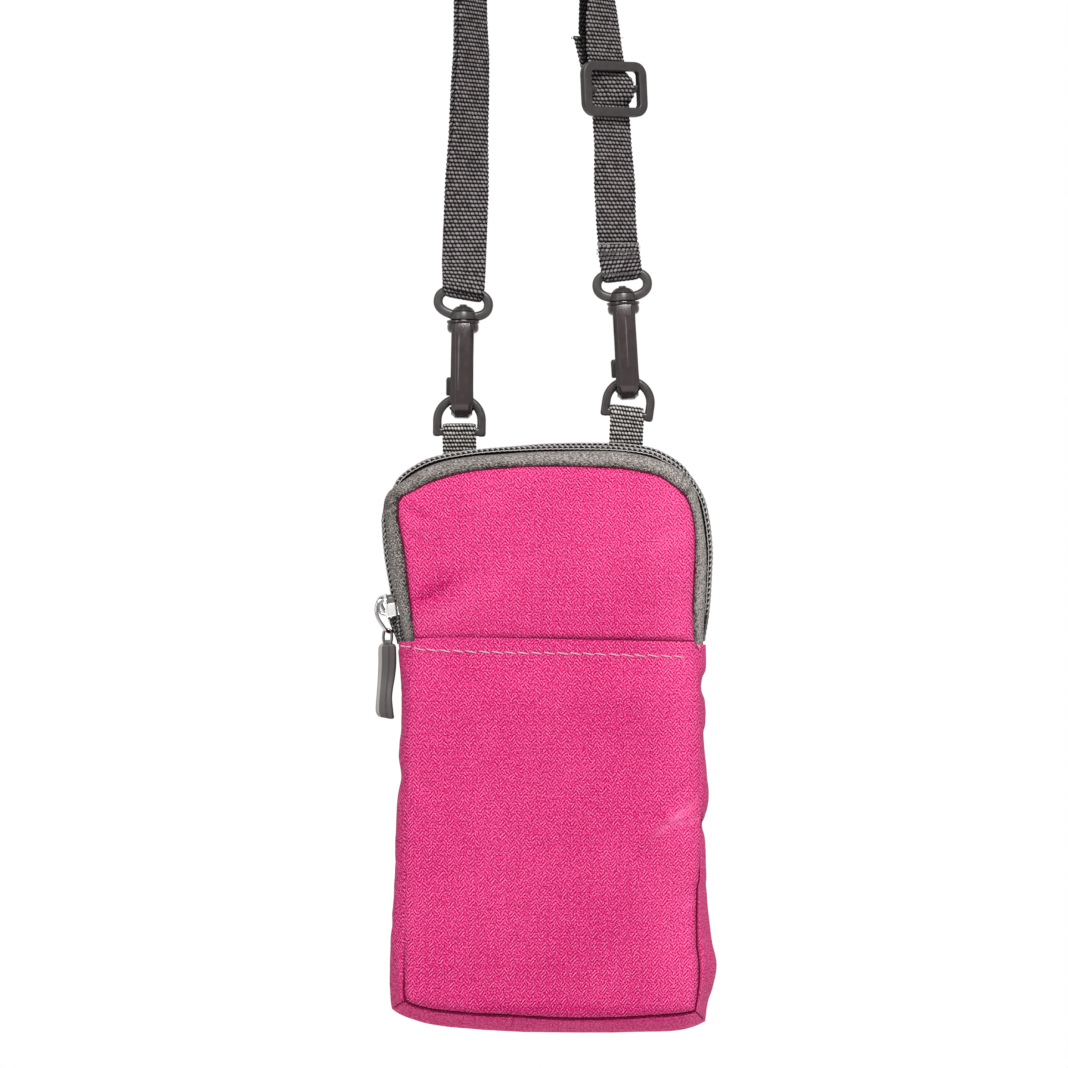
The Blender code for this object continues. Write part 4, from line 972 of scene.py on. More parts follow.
def binding(name, S, L, y_seam, y_lip, y_zip, back, seed):
    """From the seam round to the lip beside the coil, then folded in under it."""
    o = L - S
    o /= np.linalg.norm(o, axis=1, keepdims=True)
    sgn = 1 if y_lip > y_seam else -1
    s = np.concatenate(([0], np.cumsum(np.linalg.norm(np.diff((S + L) / 2, axis=0), axis=1))))
    rows, th, kind = [], [], []

    def add(q, y, t, k):
        rows.append(np.concatenate((q, np.full((len(q), 1), y)), 1)); th.append(t); kind.append(k)

    add(S - o * 2.2, y_seam + sgn * 1.3 * MM, 0.4, -0.12)
    add(S - o * 0.2, y_seam + sgn * 0.6 * MM, 0.45, -0.05)
    for a in np.linspace(0.04, 1, 15):
        x = a * math.pi / 2
        add(S + (L - S) * math.sin(x) ** 0.84, y_lip + (y_seam - y_lip) * max(0.0, math.cos(x)) ** 0.84, 0.6, a)
    r = 1.75
    for ph in (35, 75, 115, 150, 180):
        x = math.radians(ph)
        add(L - o * r + o * r * math.cos(x), y_lip + sgn * r * UNIT * 1.15 * math.sin(x), 0.22, 1.05)
    add(L - o * 3.9, y_lip + (y_zip - y_lip) * 0.30, 0.22, 1.2)
    add(L - o * 4.1, y_lip + (y_zip - y_lip) * 0.65, 0.22, 1.3)
    add(L - o * 4.2, y_zip - sgn * 0.12 * MM, 0.22, 1.4)
    Q = np.stack(rows, 1)
    k = np.array(kind)
    P = at_n(Q[..., 0], Q[..., 1], Q[..., 2])
    N = grid_normals(P)
    if not outward(P):
        N = -N
    body = np.exp(-(((k - 0.55) / 0.42) ** 2))[None]
    amp = 0.22 * hash_noise(s[:, None] / 22, k[None] * 1.4 + seed, 21 + seed) + 0.10 * hash_noise(s[:, None] / 7, k[None] * 3, 22 + seed)
    if not back:
        for mark, wd, dep in (((398.2, 503.5), 2.3, 1.05), ((683, 493.5), 2.5, 1.25), ((411, 615), 3.0, 0.22), ((694, 600), 4.0, 0.2), ((560, 466), 5.0, 0.12)):
            s0 = s[np.argmin(np.linalg.norm(S - np.array(mark), axis=1))]
            x = s[:, None] - s0 - 3.0 * (k[None] - 0.5)
            amp = amp - dep * np.exp(-((x / wd) ** 2)) + 0.45 * dep * np.exp(-(((np.abs(x) - 2.2 * wd) / (1.3 * wd)) ** 2))
    P = P + N * (amp * body)[..., None] * MM
    across = np.concatenate(([0], np.cumsum(np.linalg.norm(np.diff(P, axis=1), axis=2).mean(0))))
    uv = np.stack(np.broadcast_arrays(across[None], (s * UNIT)[:, None]), -1)
    return shell(name, P, uv, [TAPE], np.array(th) * MM, flip=not outward(P))


front_binding = binding("binding_front", pair[:, :2], pair[:, 2:], Y(-12.6), -6.4 * MM, ZIP_Y, False, 0)
put(front_binding, "flap", "zip_tape_front", slot="grey_tape")
edge_line = spline(SEAM[1:-1], 0.6)
es = np.arange(len(edge_line)) * 0.6
deep_at = sum(np.exp(-((np.linalg.norm(edge_line - np.array(c_), axis=1) / r_) ** 2)) for c_, r_ in (((398.5, 505), 12), ((686, 497), 14)))
edge_path = at_n(edge_line[:, 0] + 0.35 * hash_noise(es / 4, es * 0, 71), edge_line[:, 1] + 0.35 * hash_noise(es / 4, es * 0, 72), np.full(len(es), Y(-12.9)) - 0.25 * MM)
# painted shade: a dark tube along the binding's seam, thicker at the two pinches
put(tube("binding_seam_shade", edge_path, circle(0.20 * MM, 8), [CREASE], up=(0, -1, 0), scale=np.clip(0.72 + 0.35 * hash_noise(es / 7, es * 0, 73) + 0.5 * deep_at, 0.3, 1.6)), "flap")
n_back = len(pair)
bs = resample(spline(BACK_SEAM, 1.0), n_back)
bl = resample(spline(LIP, 1.0), n_back)
rear_binding = binding("binding_rear", bs, bl, Y(11.9), 1.7 * MM, ZIP_Y, True, 4)
put(rear_binding, "pouch", "zip_tape_rear", slot="grey_tape")


# ---------------------------------------------------------------- zip coils
def coil(name, side, body, node):
    """One half of the zip: a flattened helix of nylon round its core, side -1 in front and +1 behind."""
    q = spline(CREST, 0.5)
    base = at_n(q[:, 0], q[:, 1], ZIP_Y)
    s = np.concatenate(([0], np.cumsum(np.linalg.norm(np.diff(base, axis=0), axis=1))))
    pitch = 1.6 * MM
    turns = s[-1] / pitch
    m = int(turns * 12)
    w = np.linspace(0, s[-1], m)
    C = np.stack([np.interp(w, s, base[:, k]) for k in range(3)], -1)
    v = np.interp(w, s, q[:, 1])
    u = np.interp(w, s, q[:, 0])
    T = np.gradient(C, axis=0)
    T /= np.linalg.norm(T, axis=1, keepdims=True)
    O = np.stack((-T[:, 2], np.zeros(m), T[:, 0]), -1)
    if ((C - CENTRE) * O).sum() < 0:
        O = -O
    apart = ramp01(v, 612, 622) * (u < 500)
    cy = side * (1.50 + 0.3 * apart) * MM
    # how far the outer row stands past the crest line, and how far the front row lies below it (mm)
    marks = np.array([
        (401, 640, 0.9, 1.0), (394, 590, 1.2, 0.9), (389, 560, 1.5, 0.8), (386, 540, 1.3, 0.7), (384, 520, 0.8, 0.5), (383.2, 508, -0.1, 0.4),
        (385, 499, -0.7, 0.4), (391, 487, -0.5, 0.3), (398, 479, 0.1, 0.15), (410, 470, 0.45, 0.15), (425, 462, 0.8, 0.35), (450, 455, 0.55, 0.2),
        (480, 450, 0.45, 0.15), (505, 448, 0.45, 0.2), (520, 447, 0.55, 0.35), (540, 446, 0.85, 0.65), (580, 446, 1.05, 0.9), (613, 446.5, 1.1, 1.0),
        (648, 450, 1.0, 1.15), (668, 458, 0.9, 1.2), (681, 465, 0.5, 1.0), (690, 475, 0.0, 0.7), (698, 487, 0.15, 0.4), (704, 502, 0.5, 0.35),
        (708.5, 527, 0.75, 0.35), (710.3, 550, 0.8, 0.35), (708, 600, 0.8, 0.35), (704, 641, 0.3, 0.35)])
    at_s = [s[np.argmin(np.linalg.norm(q - mk[:2], axis=1))] for mk in marks]
    past, below = np.interp(w, at_s, marks[:, 2]), np.interp(w, at_s, marks[:, 3])
    a, b, r = 1.50 * MM, 0.42 * MM, 0.185 * MM
    top = past - (b + r) / MM
    level = (top - below if side < 0 else top) * (1 - apart) + (-0.35 if side < 0 else 1.6 - 1.25 * ramp01(v, 620, 642)) * apart
    C2 = C + O * (level * MM)[:, None]
    C2[:, 1] += cy
    ph = 2 * math.pi * w / pitch + (math.pi if side > 0 else 0)
    H = C2 + O * (b * np.sin(ph))[:, None]
    H[:, 1] += a * np.cos(ph)
    H += T * (0.26 * MM * np.cos(2 * ph))[:, None]
    strands = [tube(name + "_wire", H, circle(r, 8), [COIL], up=(0, 1, 0), scale=1 - 0.25 * apart)]
    keep = np.arange(0, m, 6)
    core = tube(name + "_core", C2[keep], circle(0.28 * MM, 12, 1.25 * MM), [DEEP], up=(0, 1, 0))
    # painted shade: below the slider the open coil gets a near-black sleeve
    low = (v > 610) & (u < 500)
    dark = tube(name + "_dark", C2[low][::4], circle(1.02 * MM, 12, 1.55 * MM), [DEEP], up=(0, 1, 0), scale=0.4 + 0.6 * apart[low][::4])
    # sewing that holds the coil to its tape, and runs along both sides of its teeth
    lines = []
    rails = [(-0.9, 0.46, 0.10), (0.9, 0.46, 0.10), (-1.36, -0.50, 0.15)]
    if side > 0:
        rails.append((-1.36, 0.46, 0.11))
    for off, lift, rad in rails:
        D = C2 + O * (lift * MM)
        D[:, 1] += (side * off if off > -1.2 else off) * MM
        D = D + O * (0.06 * MM * np.sin(2 * math.pi * w / pitch + lift))[:, None]
        lines.append(tube(name + "_sew", D[::2], circle(rad * MM, 6), [COIL if off < -1.2 else GREY_THREAD], up=(0, 1, 0), scale=(1 - 0.5 * apart)[::2]))
    for x, f in ((-0.35, 1.25), (0.4, 0.9)):
        D = C2[low] + O[low] * (x * MM)
        D[:, 1] -= 1.42 * MM
        D = D + O[low] * (0.26 * MM * np.sin(2 * math.pi * w[low] / (f * MM)))[:, None]
        lines.append(tube(name + "_sew", D, circle(0.17 * MM, 6), [GREY_THREAD], up=(0, 1, 0), scale=apart[low] * (0.12 + 1.25 * np.sin(2 * math.pi * w[low] / (2.5 * MM) + x) ** 2)))
    # its tape, from under the binding's lip
    lip = resample(spline([(407.5, 655)] + LIP + [(702.5, 656)], 0.5), 700)
    cr = resample(spline([(405.0, 652)] + CREST + [(703.0, 650)], 0.5), 700)
    inner_ = lip + (lip - cr) / np.maximum(np.linalg.norm(lip - cr, axis=1, keepdims=True), 1e-6) * 3.0
    at_c = np.concatenate(([0], np.cumsum(np.linalg.norm(np.diff(cr, axis=0), axis=1))))
    at_m = [at_c[np.argmin(np.linalg.norm(cr - mk[:2], axis=1))] for mk in marks]
    away = np.gradient(cr, axis=0)
    away = np.stack((away[:, 1], -away[:, 0]), -1) / np.linalg.norm(away, axis=1, keepdims=True)
    away *= np.sign(((cr - np.array((547.0, 560.0))) * away).sum())
    cr = cr + away * ((np.interp(at_c, at_m, marks[:, 2]) - (1.15 if side > 0 else 1.5)) / 0.29863)[:, None]
    ys = ZIP_Y + side * np.array((0.9, 1.0, 1.0, 0.7)) * MM
    Q = np.stack([at_n(*(inner_ * (1 - t) + cr * t).T, yy) for t, yy in zip((0, 0.35, 0.7, 1.0), ys)], 1)
    guv_ = np.zeros(Q.shape[:2] + (2,))
    # painted shade: the tape takes the near-black finish, for the shade under the lip
    web_ = shell(name + "_tape", Q, guv_, [DEEP], 0.35 * MM, flip=False)
    strands += [dark, web_]
    o = joined(name, strands + [core] + lines)
    return put(o, body, node, slot="coil")


coil("coil_front", -1, "flap", "zip_coil_front")
coil("coil_rear", 1, "pouch", "zip_coil_rear")

# ---------------------------------------------------------------- back of the pouch
back_outline = np.vstack((spline(BACK_SEAM, 1.5), resample(spline([(696.6, 641), (697.3, 684), (698.0, 700), (699.6, 760), (700.2, 826), (697, 889), (696.4, 943), (698, 985), (694.8, 1010.5)], 1.2), 180)[1:], resample(bottom_line[::-1], 160)[1:], resample(spline([(405.5, 1000.5), (404.3, 971), (405, 895), (406.5, 787), (408, 700), (406, 640)], 1.2), 180)[1:]))


def back_depth(P):
    P = np.asarray(P, float)
    d = distance(P, back_outline, True)
    roll = np.sqrt(np.clip(1 - (1 - np.clip(d / 15.0, 0, 1)) ** 2.4, 0, 1))
    crown = 1 - (1 - np.clip(d / 110.0, 0, 1)) ** 2
    n = 0.5 * hash_noise(P[:, 0] / 60, P[:, 1] / 80, 31) + 0.25 * hash_noise(P[:, 0] / 24, P[:, 1] / 30, 32)
    return Y(12.2) + (1.1 * roll + 0.5 * crown + 0.5 * n * np.clip(d / 20, 0, 1)) * MM


def back_piece(name, line, y_outer, y_inner, mats, step, inner):
    """Like panel(), for a face that looks to the back."""
    o = panel(name, line, lambda P: np.full(len(P), y_inner), mats, step, inner=inner, back_y=y_inner + 1.0 * MM)
    me = o.data
    n = len(me.vertices)
    co = np.empty(n * 3)
    me.vertices.foreach_get("co", co)
    co = co.reshape(-1, 3)
    f0 = (EYE + co[:, 1]) / EYE
    u = 534.0 + (co[:, 0] - (534.0 - 535.5) * UNIT) / (UNIT * f0)
    v = 534.0 - (co[:, 2] + (534.0 - TOP_V) * UNIT + ARCH) / (UNIT * f0)
    far = co[:, 1] > y_inner + 0.9 * MM
    mid = (~far) & (co[:, 1] > y_inner + 0.2 * MM)
    yo = y_outer(np.stack((u, v), -1))
    y = np.where(far, yo, np.where(mid, 0.5 * (yo + y_inner), y_inner))
    co = at_n(u, v, y)
    me.vertices.foreach_set("co", co.ravel())
    me.update()
    return tidy(o)


back_cover = back_piece("back_cover", back_outline, back_depth, Y(9.8), [LINING, PINK], 3.0, 1)
put(back_cover, "pouch", "back_panel", "back_padding", "back_lining", slot="pink")


# ---------------------------------------------------------------- webbing
STRAP_T, STRAP_W, HALF_PLY, BAR = 1.3 * MM, 13.0 * MM, 1.1 * MM, 1.3 * MM
BEND = 16.0 * MM + STRAP_T / 2 + HALF_PLY
L_RING, R_RING = at(463.5, 290.0), at(621.5, 271.5)
left_top, right_top = Vector((-BEND, 0, -ARCH)), Vector((BEND, 0, -ARCH))


def steps(*pairs):
    def f(v):
        if v <= pairs[0][0]:
            return pairs[0][1]
        for (a, p), (b, q) in zip(pairs, pairs[1:]):
            if v <= b:
                t = (v - a) / (b - a)
                return p + (q - p) * (3 * t * t - 2 * t**3) if p != q else p
        return pairs[-1][1]
    return f


def run(top, low, v0, v1, twist, n):
    out = []
    for i in range(n + 1):
        v = v0 + (v1 - v0) * i / n
        t = (v - TOP_V) / (low[1] - TOP_V)
        mid = top.lerp(at(low[0], low[1]), t)
        a = math.radians(twist(v))
        out.append((mid, Vector((math.sin(a), -math.cos(a), 0)), Vector((math.cos(a), math.sin(a), 0))))
    return out


left_twist = steps((-84, 90), (0, 52), (120, 38), (250, 0))
right_twist = steps((-84, 90), (48, 32), (140, 30), (235, 0))
left_run = run(left_top, (464.0, 262), TOP_V, 262, left_twist, 32)
right_run = run(right_top, (617.5, 242), TOP_V, 242, right_twist, 32)


def ply(stations, side, reach=HALF_PLY):
    return [(m + n * side * reach, w) for m, n, w in stations]


def fold(bar, front_first, tilt, n=10):
    r = BAR + 0.38 * MM + STRAP_T / 2
    lie = Vector((math.cos(math.radians(tilt)), 0, math.sin(math.radians(tilt))))
    out = []
    for i in range(n + 1):
        a = math.radians(180 + 180 * i / n)
        p = bar + Vector((0, math.cos(a) * r, math.sin(a) * r))
        out.append((p, lie * (0.82 + 0.14 * math.cos(a) ** 2)))
    return out if front_first else out[::-1]


def arch(radius, left_to_right):
    out = []
    for i in range(0, 15):
        a = math.pi - math.pi * i / 14
        out.append((Vector((math.cos(a) * radius, 0, -ARCH + math.sin(a) * radius)), Vector((0, 1, 0))))
    return out if left_to_right else out[::-1]


def fine(path, step):
    """Stations (centre, width direction) of a path, evenly spaced by the length of its centre line."""
    C = np.array([tuple(c) for c, w in path])
    W = np.array([tuple(w) for c, w in path])
    p = np.hstack((C, W))
    a = np.vstack((2 * p[0] - p[1], p, 2 * p[-1] - p[-2]))
    out = []
    t = np.linspace(0, 1, 17)[:-1, None]
    for i in range(len(p) - 1):
        b, c, d, e = a[i], a[i + 1], a[i + 2], a[i + 3]
        out.append(0.5 * (2 * c + (d - b) * t + (2 * b - 5 * c + 4 * d - e) * t**2 + (3 * c - 3 * d + e - b) * t**3))
    q = np.vstack(out + [p[-1:]])
    s = np.concatenate(([0], np.cumsum(np.linalg.norm(np.diff(q[:, :3], axis=0), axis=1))))
    w = np.linspace(0, s[-1], max(3, int(s[-1] / step)))
    q = np.stack([np.interp(w, s, q[:, k]) for k in range(6)], -1)
    return q[:, :3], q[:, 3:], w


def webbing(name, C, W, s, width, thick, mat, row, speck, across=44, relief=0.11, bump_edges=0.16, ends=True):
    """A flat woven band: rounded selvedges, yarn floats standing out of both faces, threads looping at its edges."""
    T = np.gradient(C, axis=0)
    T /= np.linalg.norm(T, axis=1, keepdims=True)
    size = np.linalg.norm(W, axis=1)
    Wn = W / size[:, None]
    N = np.cross(T, Wn)
    N /= np.linalg.norm(N, axis=1, keepdims=True)
    half = width / 2 * size + bump_edges * MM * np.cos(2 * np.pi * s / row)
    k = np.linspace(-1, 1, across)
    body = (1 - np.abs(k) ** 9) ** 0.5
    V, UV = [], []
    n_row = np.floor(s / row)
    fy = s / row - n_row - 0.5
    for side in (1, -1):
        kk = k if side > 0 else k[::-1]
        bb = body if side > 0 else body[::-1]
        x = kk[None] * half[:, None]
        cell = x / speck + (0.5 * (n_row % 2))[:, None] + 0.35 * fy[:, None]
        fx = cell - np.floor(cell) - 0.5
        h = np.clip(1 - np.sqrt((1.55 * fx) ** 2 + (1.9 * fy[:, None]) ** 2), 0, 1)
        up = (thick / 2 * np.maximum(bb, 0.0)[None] + relief * MM * (h - 0.35) * np.maximum(bb, 0.0)[None]) * side
        V.append(C[:, None] + Wn[:, None] * x[..., None] + N[:, None] * up[..., None])
        UV.append(np.stack((x + 0.05, np.repeat(s[:, None], across, 1)), -1))
    V, UV = np.concatenate(V, 1), np.concatenate(UV, 1)
    n, m = V.shape[:2]
    i = np.arange(n * m).reshape(n, m)
    j = np.roll(i, -1, 1)
    F = np.stack((i[:-1], j[:-1], j[1:], i[1:]), -1).reshape(-1, 4)
    Fs = [tuple(f) for f in F]
    half_m = m // 2
    for r in (0, n - 1):
        for c in range(half_m - 1):
            Fs.append((i[r, c], i[r, c + 1], i[r, m - 2 - c], i[r, m - 1 - c]))
    o = build(name, V.reshape(-1, 3), Fs, [mat], UV.reshape(-1, 2))
    return tidy(o)


left_front, left_rear, right_front = ply(left_run, 1), ply(left_run, -1), ply(right_run, 1)
L_TILT, R_TILT = -10.0, 7.0
short_end = [
    (at(618.0, 244.5, 0) + Vector((0, -2.05 * MM, 0)), Vector((1, 0, 0.02))),
    (at(620.0, 259, 0) + Vector((0, -2.25 * MM, 0)), Vector((1, 0, 0.05))),
]
long_in = [(at(619.0, 256, 0) + Vector((0, 1.4 * MM, 0)), Vector((1, 0, 0.04)))]
path = (
    short_end + fold(R_RING, True, R_TILT) + long_in + [(at(618.2, 247, 0) + Vector((0, -0.1 * MM, 0)), Vector((1, 0, 0)))]
    + right_front[::-1][1:-1] + arch(BEND + HALF_PLY, False) + left_rear[1:] + fold(L_RING, False, L_TILT)
    + left_front[::-1][:-1] + arch(BEND - HALF_PLY, True)
)
C, W, s = fine(path, 0.26 * MM)
# between the tri-glide's bars the ply rides up over the crossbar and turns to the front
v = 534 - (C[:, 2] + (534 - TOP_V) * UNIT + ARCH) / UNIT
on_right = (s < s[-1] * 0.36) & (C[:, 0] > 0.006) & (v < 200)
b = np.exp(-(((v - 88) / 13.0) ** 4)) * on_right
W = W * (1 - 0.85 * b)[:, None] + np.array((1.0, 0, 0)) * (0.85 * b * 1.05)[:, None]
C = C + np.array((0.9 * MM, -0.55 * MM, 0)) * b[:, None]
sway = 0.25 * MM * hash_noise(s / 0.021, s * 0 + 3, 51)
C[:, 0] += sway * (v < 225) * (v > -60)
first = (s < s[-1] * 0.36) & (C[:, 0] > 0.006)
W = W * (1 - (0.085 * np.exp(-(((v - 234) / 42.0) ** 4)) + 0.05 * np.exp(-(((v - 10) / 46.0) ** 4))) * first)[:, None]
C[:, 0] -= 0.55 * MM * np.exp(-(((v - 10) / 50.0) ** 4)) * first
C[:, 0] -= 0.85 * MM * np.clip((50 - v) / 50, 0, 1) ** 0.8 * np.clip((v + 130) / 100, 0, 1) * (C[:, 0] < -0.006)
strap = webbing("strap_band", C, W, s, STRAP_W, STRAP_T, STRAP, 1.37 * MM, 1.4 * MM)

parts = [strap]
# raw, frayed end of the sewn piece, with the rows of sewing under it
edge_at = at(618.0, 244.5, 0) + Vector((0, -2.05 * MM, 0))
for i in range(130):
    x = (i / 129 - 0.5) * 12.3 * MM + rng.uniform(-0.05, 0.05) * MM
    r = edge_at + Vector((x, rng.uniform(-0.65, 0.45) * MM, 0.02 * x - 0.3 * MM))
    tip = r + Vector((rng.uniform(-0.35, 0.35), rng.uniform(-0.35, 0.1), rng.uniform(0.2, 0.75))) * MM
    midp = r.lerp(tip, 0.5) + Vector((rng.uniform(-0.25, 0.25), rng.uniform(-0.3, 0.1), 0)) * MM
    parts.append(tube("fray", spline([tuple(r), tuple(midp), tuple(tip)], 0.3 * MM), circle(rng.uniform(0.06, 0.12) * MM, 5), [GREY_THREAD]))
for side, n in ((-1, 7), (1, 9)):
    for i in range(n):
        r = edge_at + Vector((side * 6.0 * MM, rng.uniform(-0.4, 0.3) * MM, -rng.uniform(0.0, 3.2) * MM))
        tip = r + Vector((side * rng.uniform(0.15, 0.7), rng.uniform(-0.3, 0.3), rng.uniform(-0.4, 0.35))) * MM
        parts.append(tube("fray", spline([tuple(r), tuple(r.lerp(tip, 0.5) + Vector((0, 0, rng.uniform(-0.25, 0.25) * MM))), tuple(tip)], 0.3 * MM), circle(0.08 * MM, 5), [GREY_THREAD]))
for row_z in (-2.6, -4.1, -9.0):
    pts = []
    for i in range(27):
        x = (i / 26 - 0.5) * 10.8 * MM
        pts.append(tuple(edge_at + Vector((x + 0.0 * MM, -0.80 * MM + 0.10 * MM * math.cos(i * math.pi), row_z * MM + (0.45 if i % 2 else -0.45) * MM + 0.05 * x))))
    parts.append(tube("bartack", spline(pts, 0.25 * MM), circle(0.14 * MM, 6), [STRAP_THREAD]))
band = joined("strap_band", parts)
put(band, "strap", "strap_webbing", slot="strap")

# the free end behind the right run, sewn round the tri-glide's crossbar
GLIDE_V = 89.5
g_mid, g_n, g_w = run(right_top, (617.5, 242), GLIDE_V, GLIDE_V + 1, right_twist, 1)[0]
down = (at(617.5, 242) - right_top).normalized()
glide_at = g_mid + g_n * HALF_PLY
gx = g_w
gn = gx.cross(down).normalized()
if gn.dot(g_n) < 0:
    gn = -gn
gx = down.cross(gn).normalized()
if gx.dot(g_w) < 0:
    gx = -gx
G = Matrix((gx, gn, -down)).transposed().to_4x4()
G.translation = glide_at


def g(a, n, s_):
    return G @ Vector((a * MM, n * MM, s_ * MM))


right_tail = ply(right_run[:9], -1)
tail_path = [(g(k_, n, s_), gx * q_) for k_, n, s_, q_ in ((0.4, -4.6, 7.5, 0.98), (1.2, -4.75, 3.0, 0.92), (1.6, -4.6, 0.6, 0.86), (1.6, -4.2, -1.0, 0.86), (1.6, -3.4, -2.0, 0.86), (1.6, -2.35, -2.35, 0.86))]
tail_start = [(Vector((BEND - HALF_PLY, 0, -ARCH - 0.9 * MM)), Vector((0, 1, 0)))]
C2, W2, s2 = fine(tail_start + right_tail[1:] + tail_path, 0.3 * MM)
v2 = 534 - (C2[:, 2] + (534 - TOP_V) * UNIT + ARCH) / UNIT
C2[:, 0] -= 1.5 * MM * np.clip((46 - v2) / 14, 0, 1) * np.clip((v2 + 90) / 60, 0, 1)
# painted shade: the rear ply takes the darker copy of the weave
tail = webbing("strap_tail_band", C2, W2, s2, 12.4 * MM, 1.2 * MM, STRAP_SHADED, 1.37 * MM, 1.4 * MM)
# the sewn-back tongue behind it, its corner standing out on the left above the tri-glide
tongue = []
for n_, s_, sk in ((-3.1, 3.2, 1.3), (-3.2, 8.0, 0.5), (-3.3, 12.5, -0.3), (-3.6, 16.2, -0.95)):
    tongue.append((g(sk, n_ - 3.1, s_), gx + Vector((0, 0, -0.10))))
C3, W3, s3 = fine(tongue, 0.3 * MM)
tongue_band = webbing("strap_tongue", C3, W3, s3, 12.4 * MM, 1.1 * MM, STRAP, 1.37 * MM, 1.4 * MM)
tp = [tail, tongue_band]
for i in range(46):
    x = (i / 45 - 0.5) * 12.2
    r = g(-1.25 + x, -6.7 + rng.uniform(-0.5, 0.4), 15.8 - 0.02 * x)
    tip = r + Vector((rng.uniform(-0.4, 0.4), rng.uniform(-0.3, 0.2), rng.uniform(0.3, 0.9))) * MM
    tp.append(tube("fray", spline([tuple(r), tuple(r.lerp(tip, 0.5)), tuple(tip)], 0.3 * MM), circle(0.09 * MM, 5), [STRAP_THREAD]))
loose = [g(6.3, -5.6, 14.6), g(7.2, -5.4, 15.1), g(8.2, -5.2, 15.9), g(8.9, -5.0, 16.1), g(9.5, -4.9, 16.2)]
tp.append(tube("loose_thread", spline([tuple(q) for q in loose], 0.3 * MM), circle(0.09 * MM, 6), [GREY_THREAD]))
tail_all = joined("strap_tail_band", tp)
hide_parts("strap_sewn_end")
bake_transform(tail_all)


def tab(name, foot, low_u, low_v, body, node, tilt):
    """Narrow webbing folded over a D-ring's foot and sewn in behind the zip."""
    r = (1.2 + 0.30 + 0.55) * MM
    low = at(low_u, low_v, 0)
    lean = Vector((1, 0, math.tan(math.radians(tilt))))
    path = [
        (Vector((low.x, 0.2 * MM, low.z)), Vector((1.02, 0, 0))),
        (low.lerp(foot, 0.5) + Vector((0, -1.1 * MM, 0)), Vector((1.0, 0, 0.5 * lean.z))),
        (Vector((foot.x, -1.35 * MM, foot.z - 2.6 * MM)), lean),
    ]
    for i in range(9):
        a = math.pi - math.pi * i / 8
        path.append((foot + Vector((0, math.cos(a) * r, math.sin(a) * r)), lean))
    path += [(Vector((foot.x, 1.5 * MM, foot.z - 2.6 * MM)), lean), (Vector((low.x, 2.0 * MM, low.z)), Vector((1, 0, 0)))]
    C, W, s = fine(path, 0.2 * MM)
    return put(webbing(name, C, W, s, 9.9 * MM, 1.0 * MM, TABWEB, 1.2 * MM, 0.94 * MM, across=40, relief=0.13, bump_edges=0.12), body, node, slot="tab_web")


# ---------------------------------------------------------------- rings, hooks, gates and D-rings
LINK = 32.7


def soften(o, width, segments=2, angle=28):
    bm = bmesh.new()
    bm.from_mesh(o.data)
    edges = [e for e in bm.edges if len(e.link_faces) == 2 and e.calc_face_angle(0) > math.radians(angle)]
    bmesh.ops.bevel(bm, geom=edges, offset=width * MM, segments=segments, profile=0.6, affect="EDGES", clamp_overlap=True)
    bmesh.ops.recalc_face_normals(bm, faces=bm.faces)
    bm.to_mesh(o.data)
    bm.free()
    return sharp(o, 50)


SIDEWAYS = Matrix(((0, 0, 1, 0), (1, 0, 0, 0), (0, 1, 0, 0), (0, 0, 0, 1)))


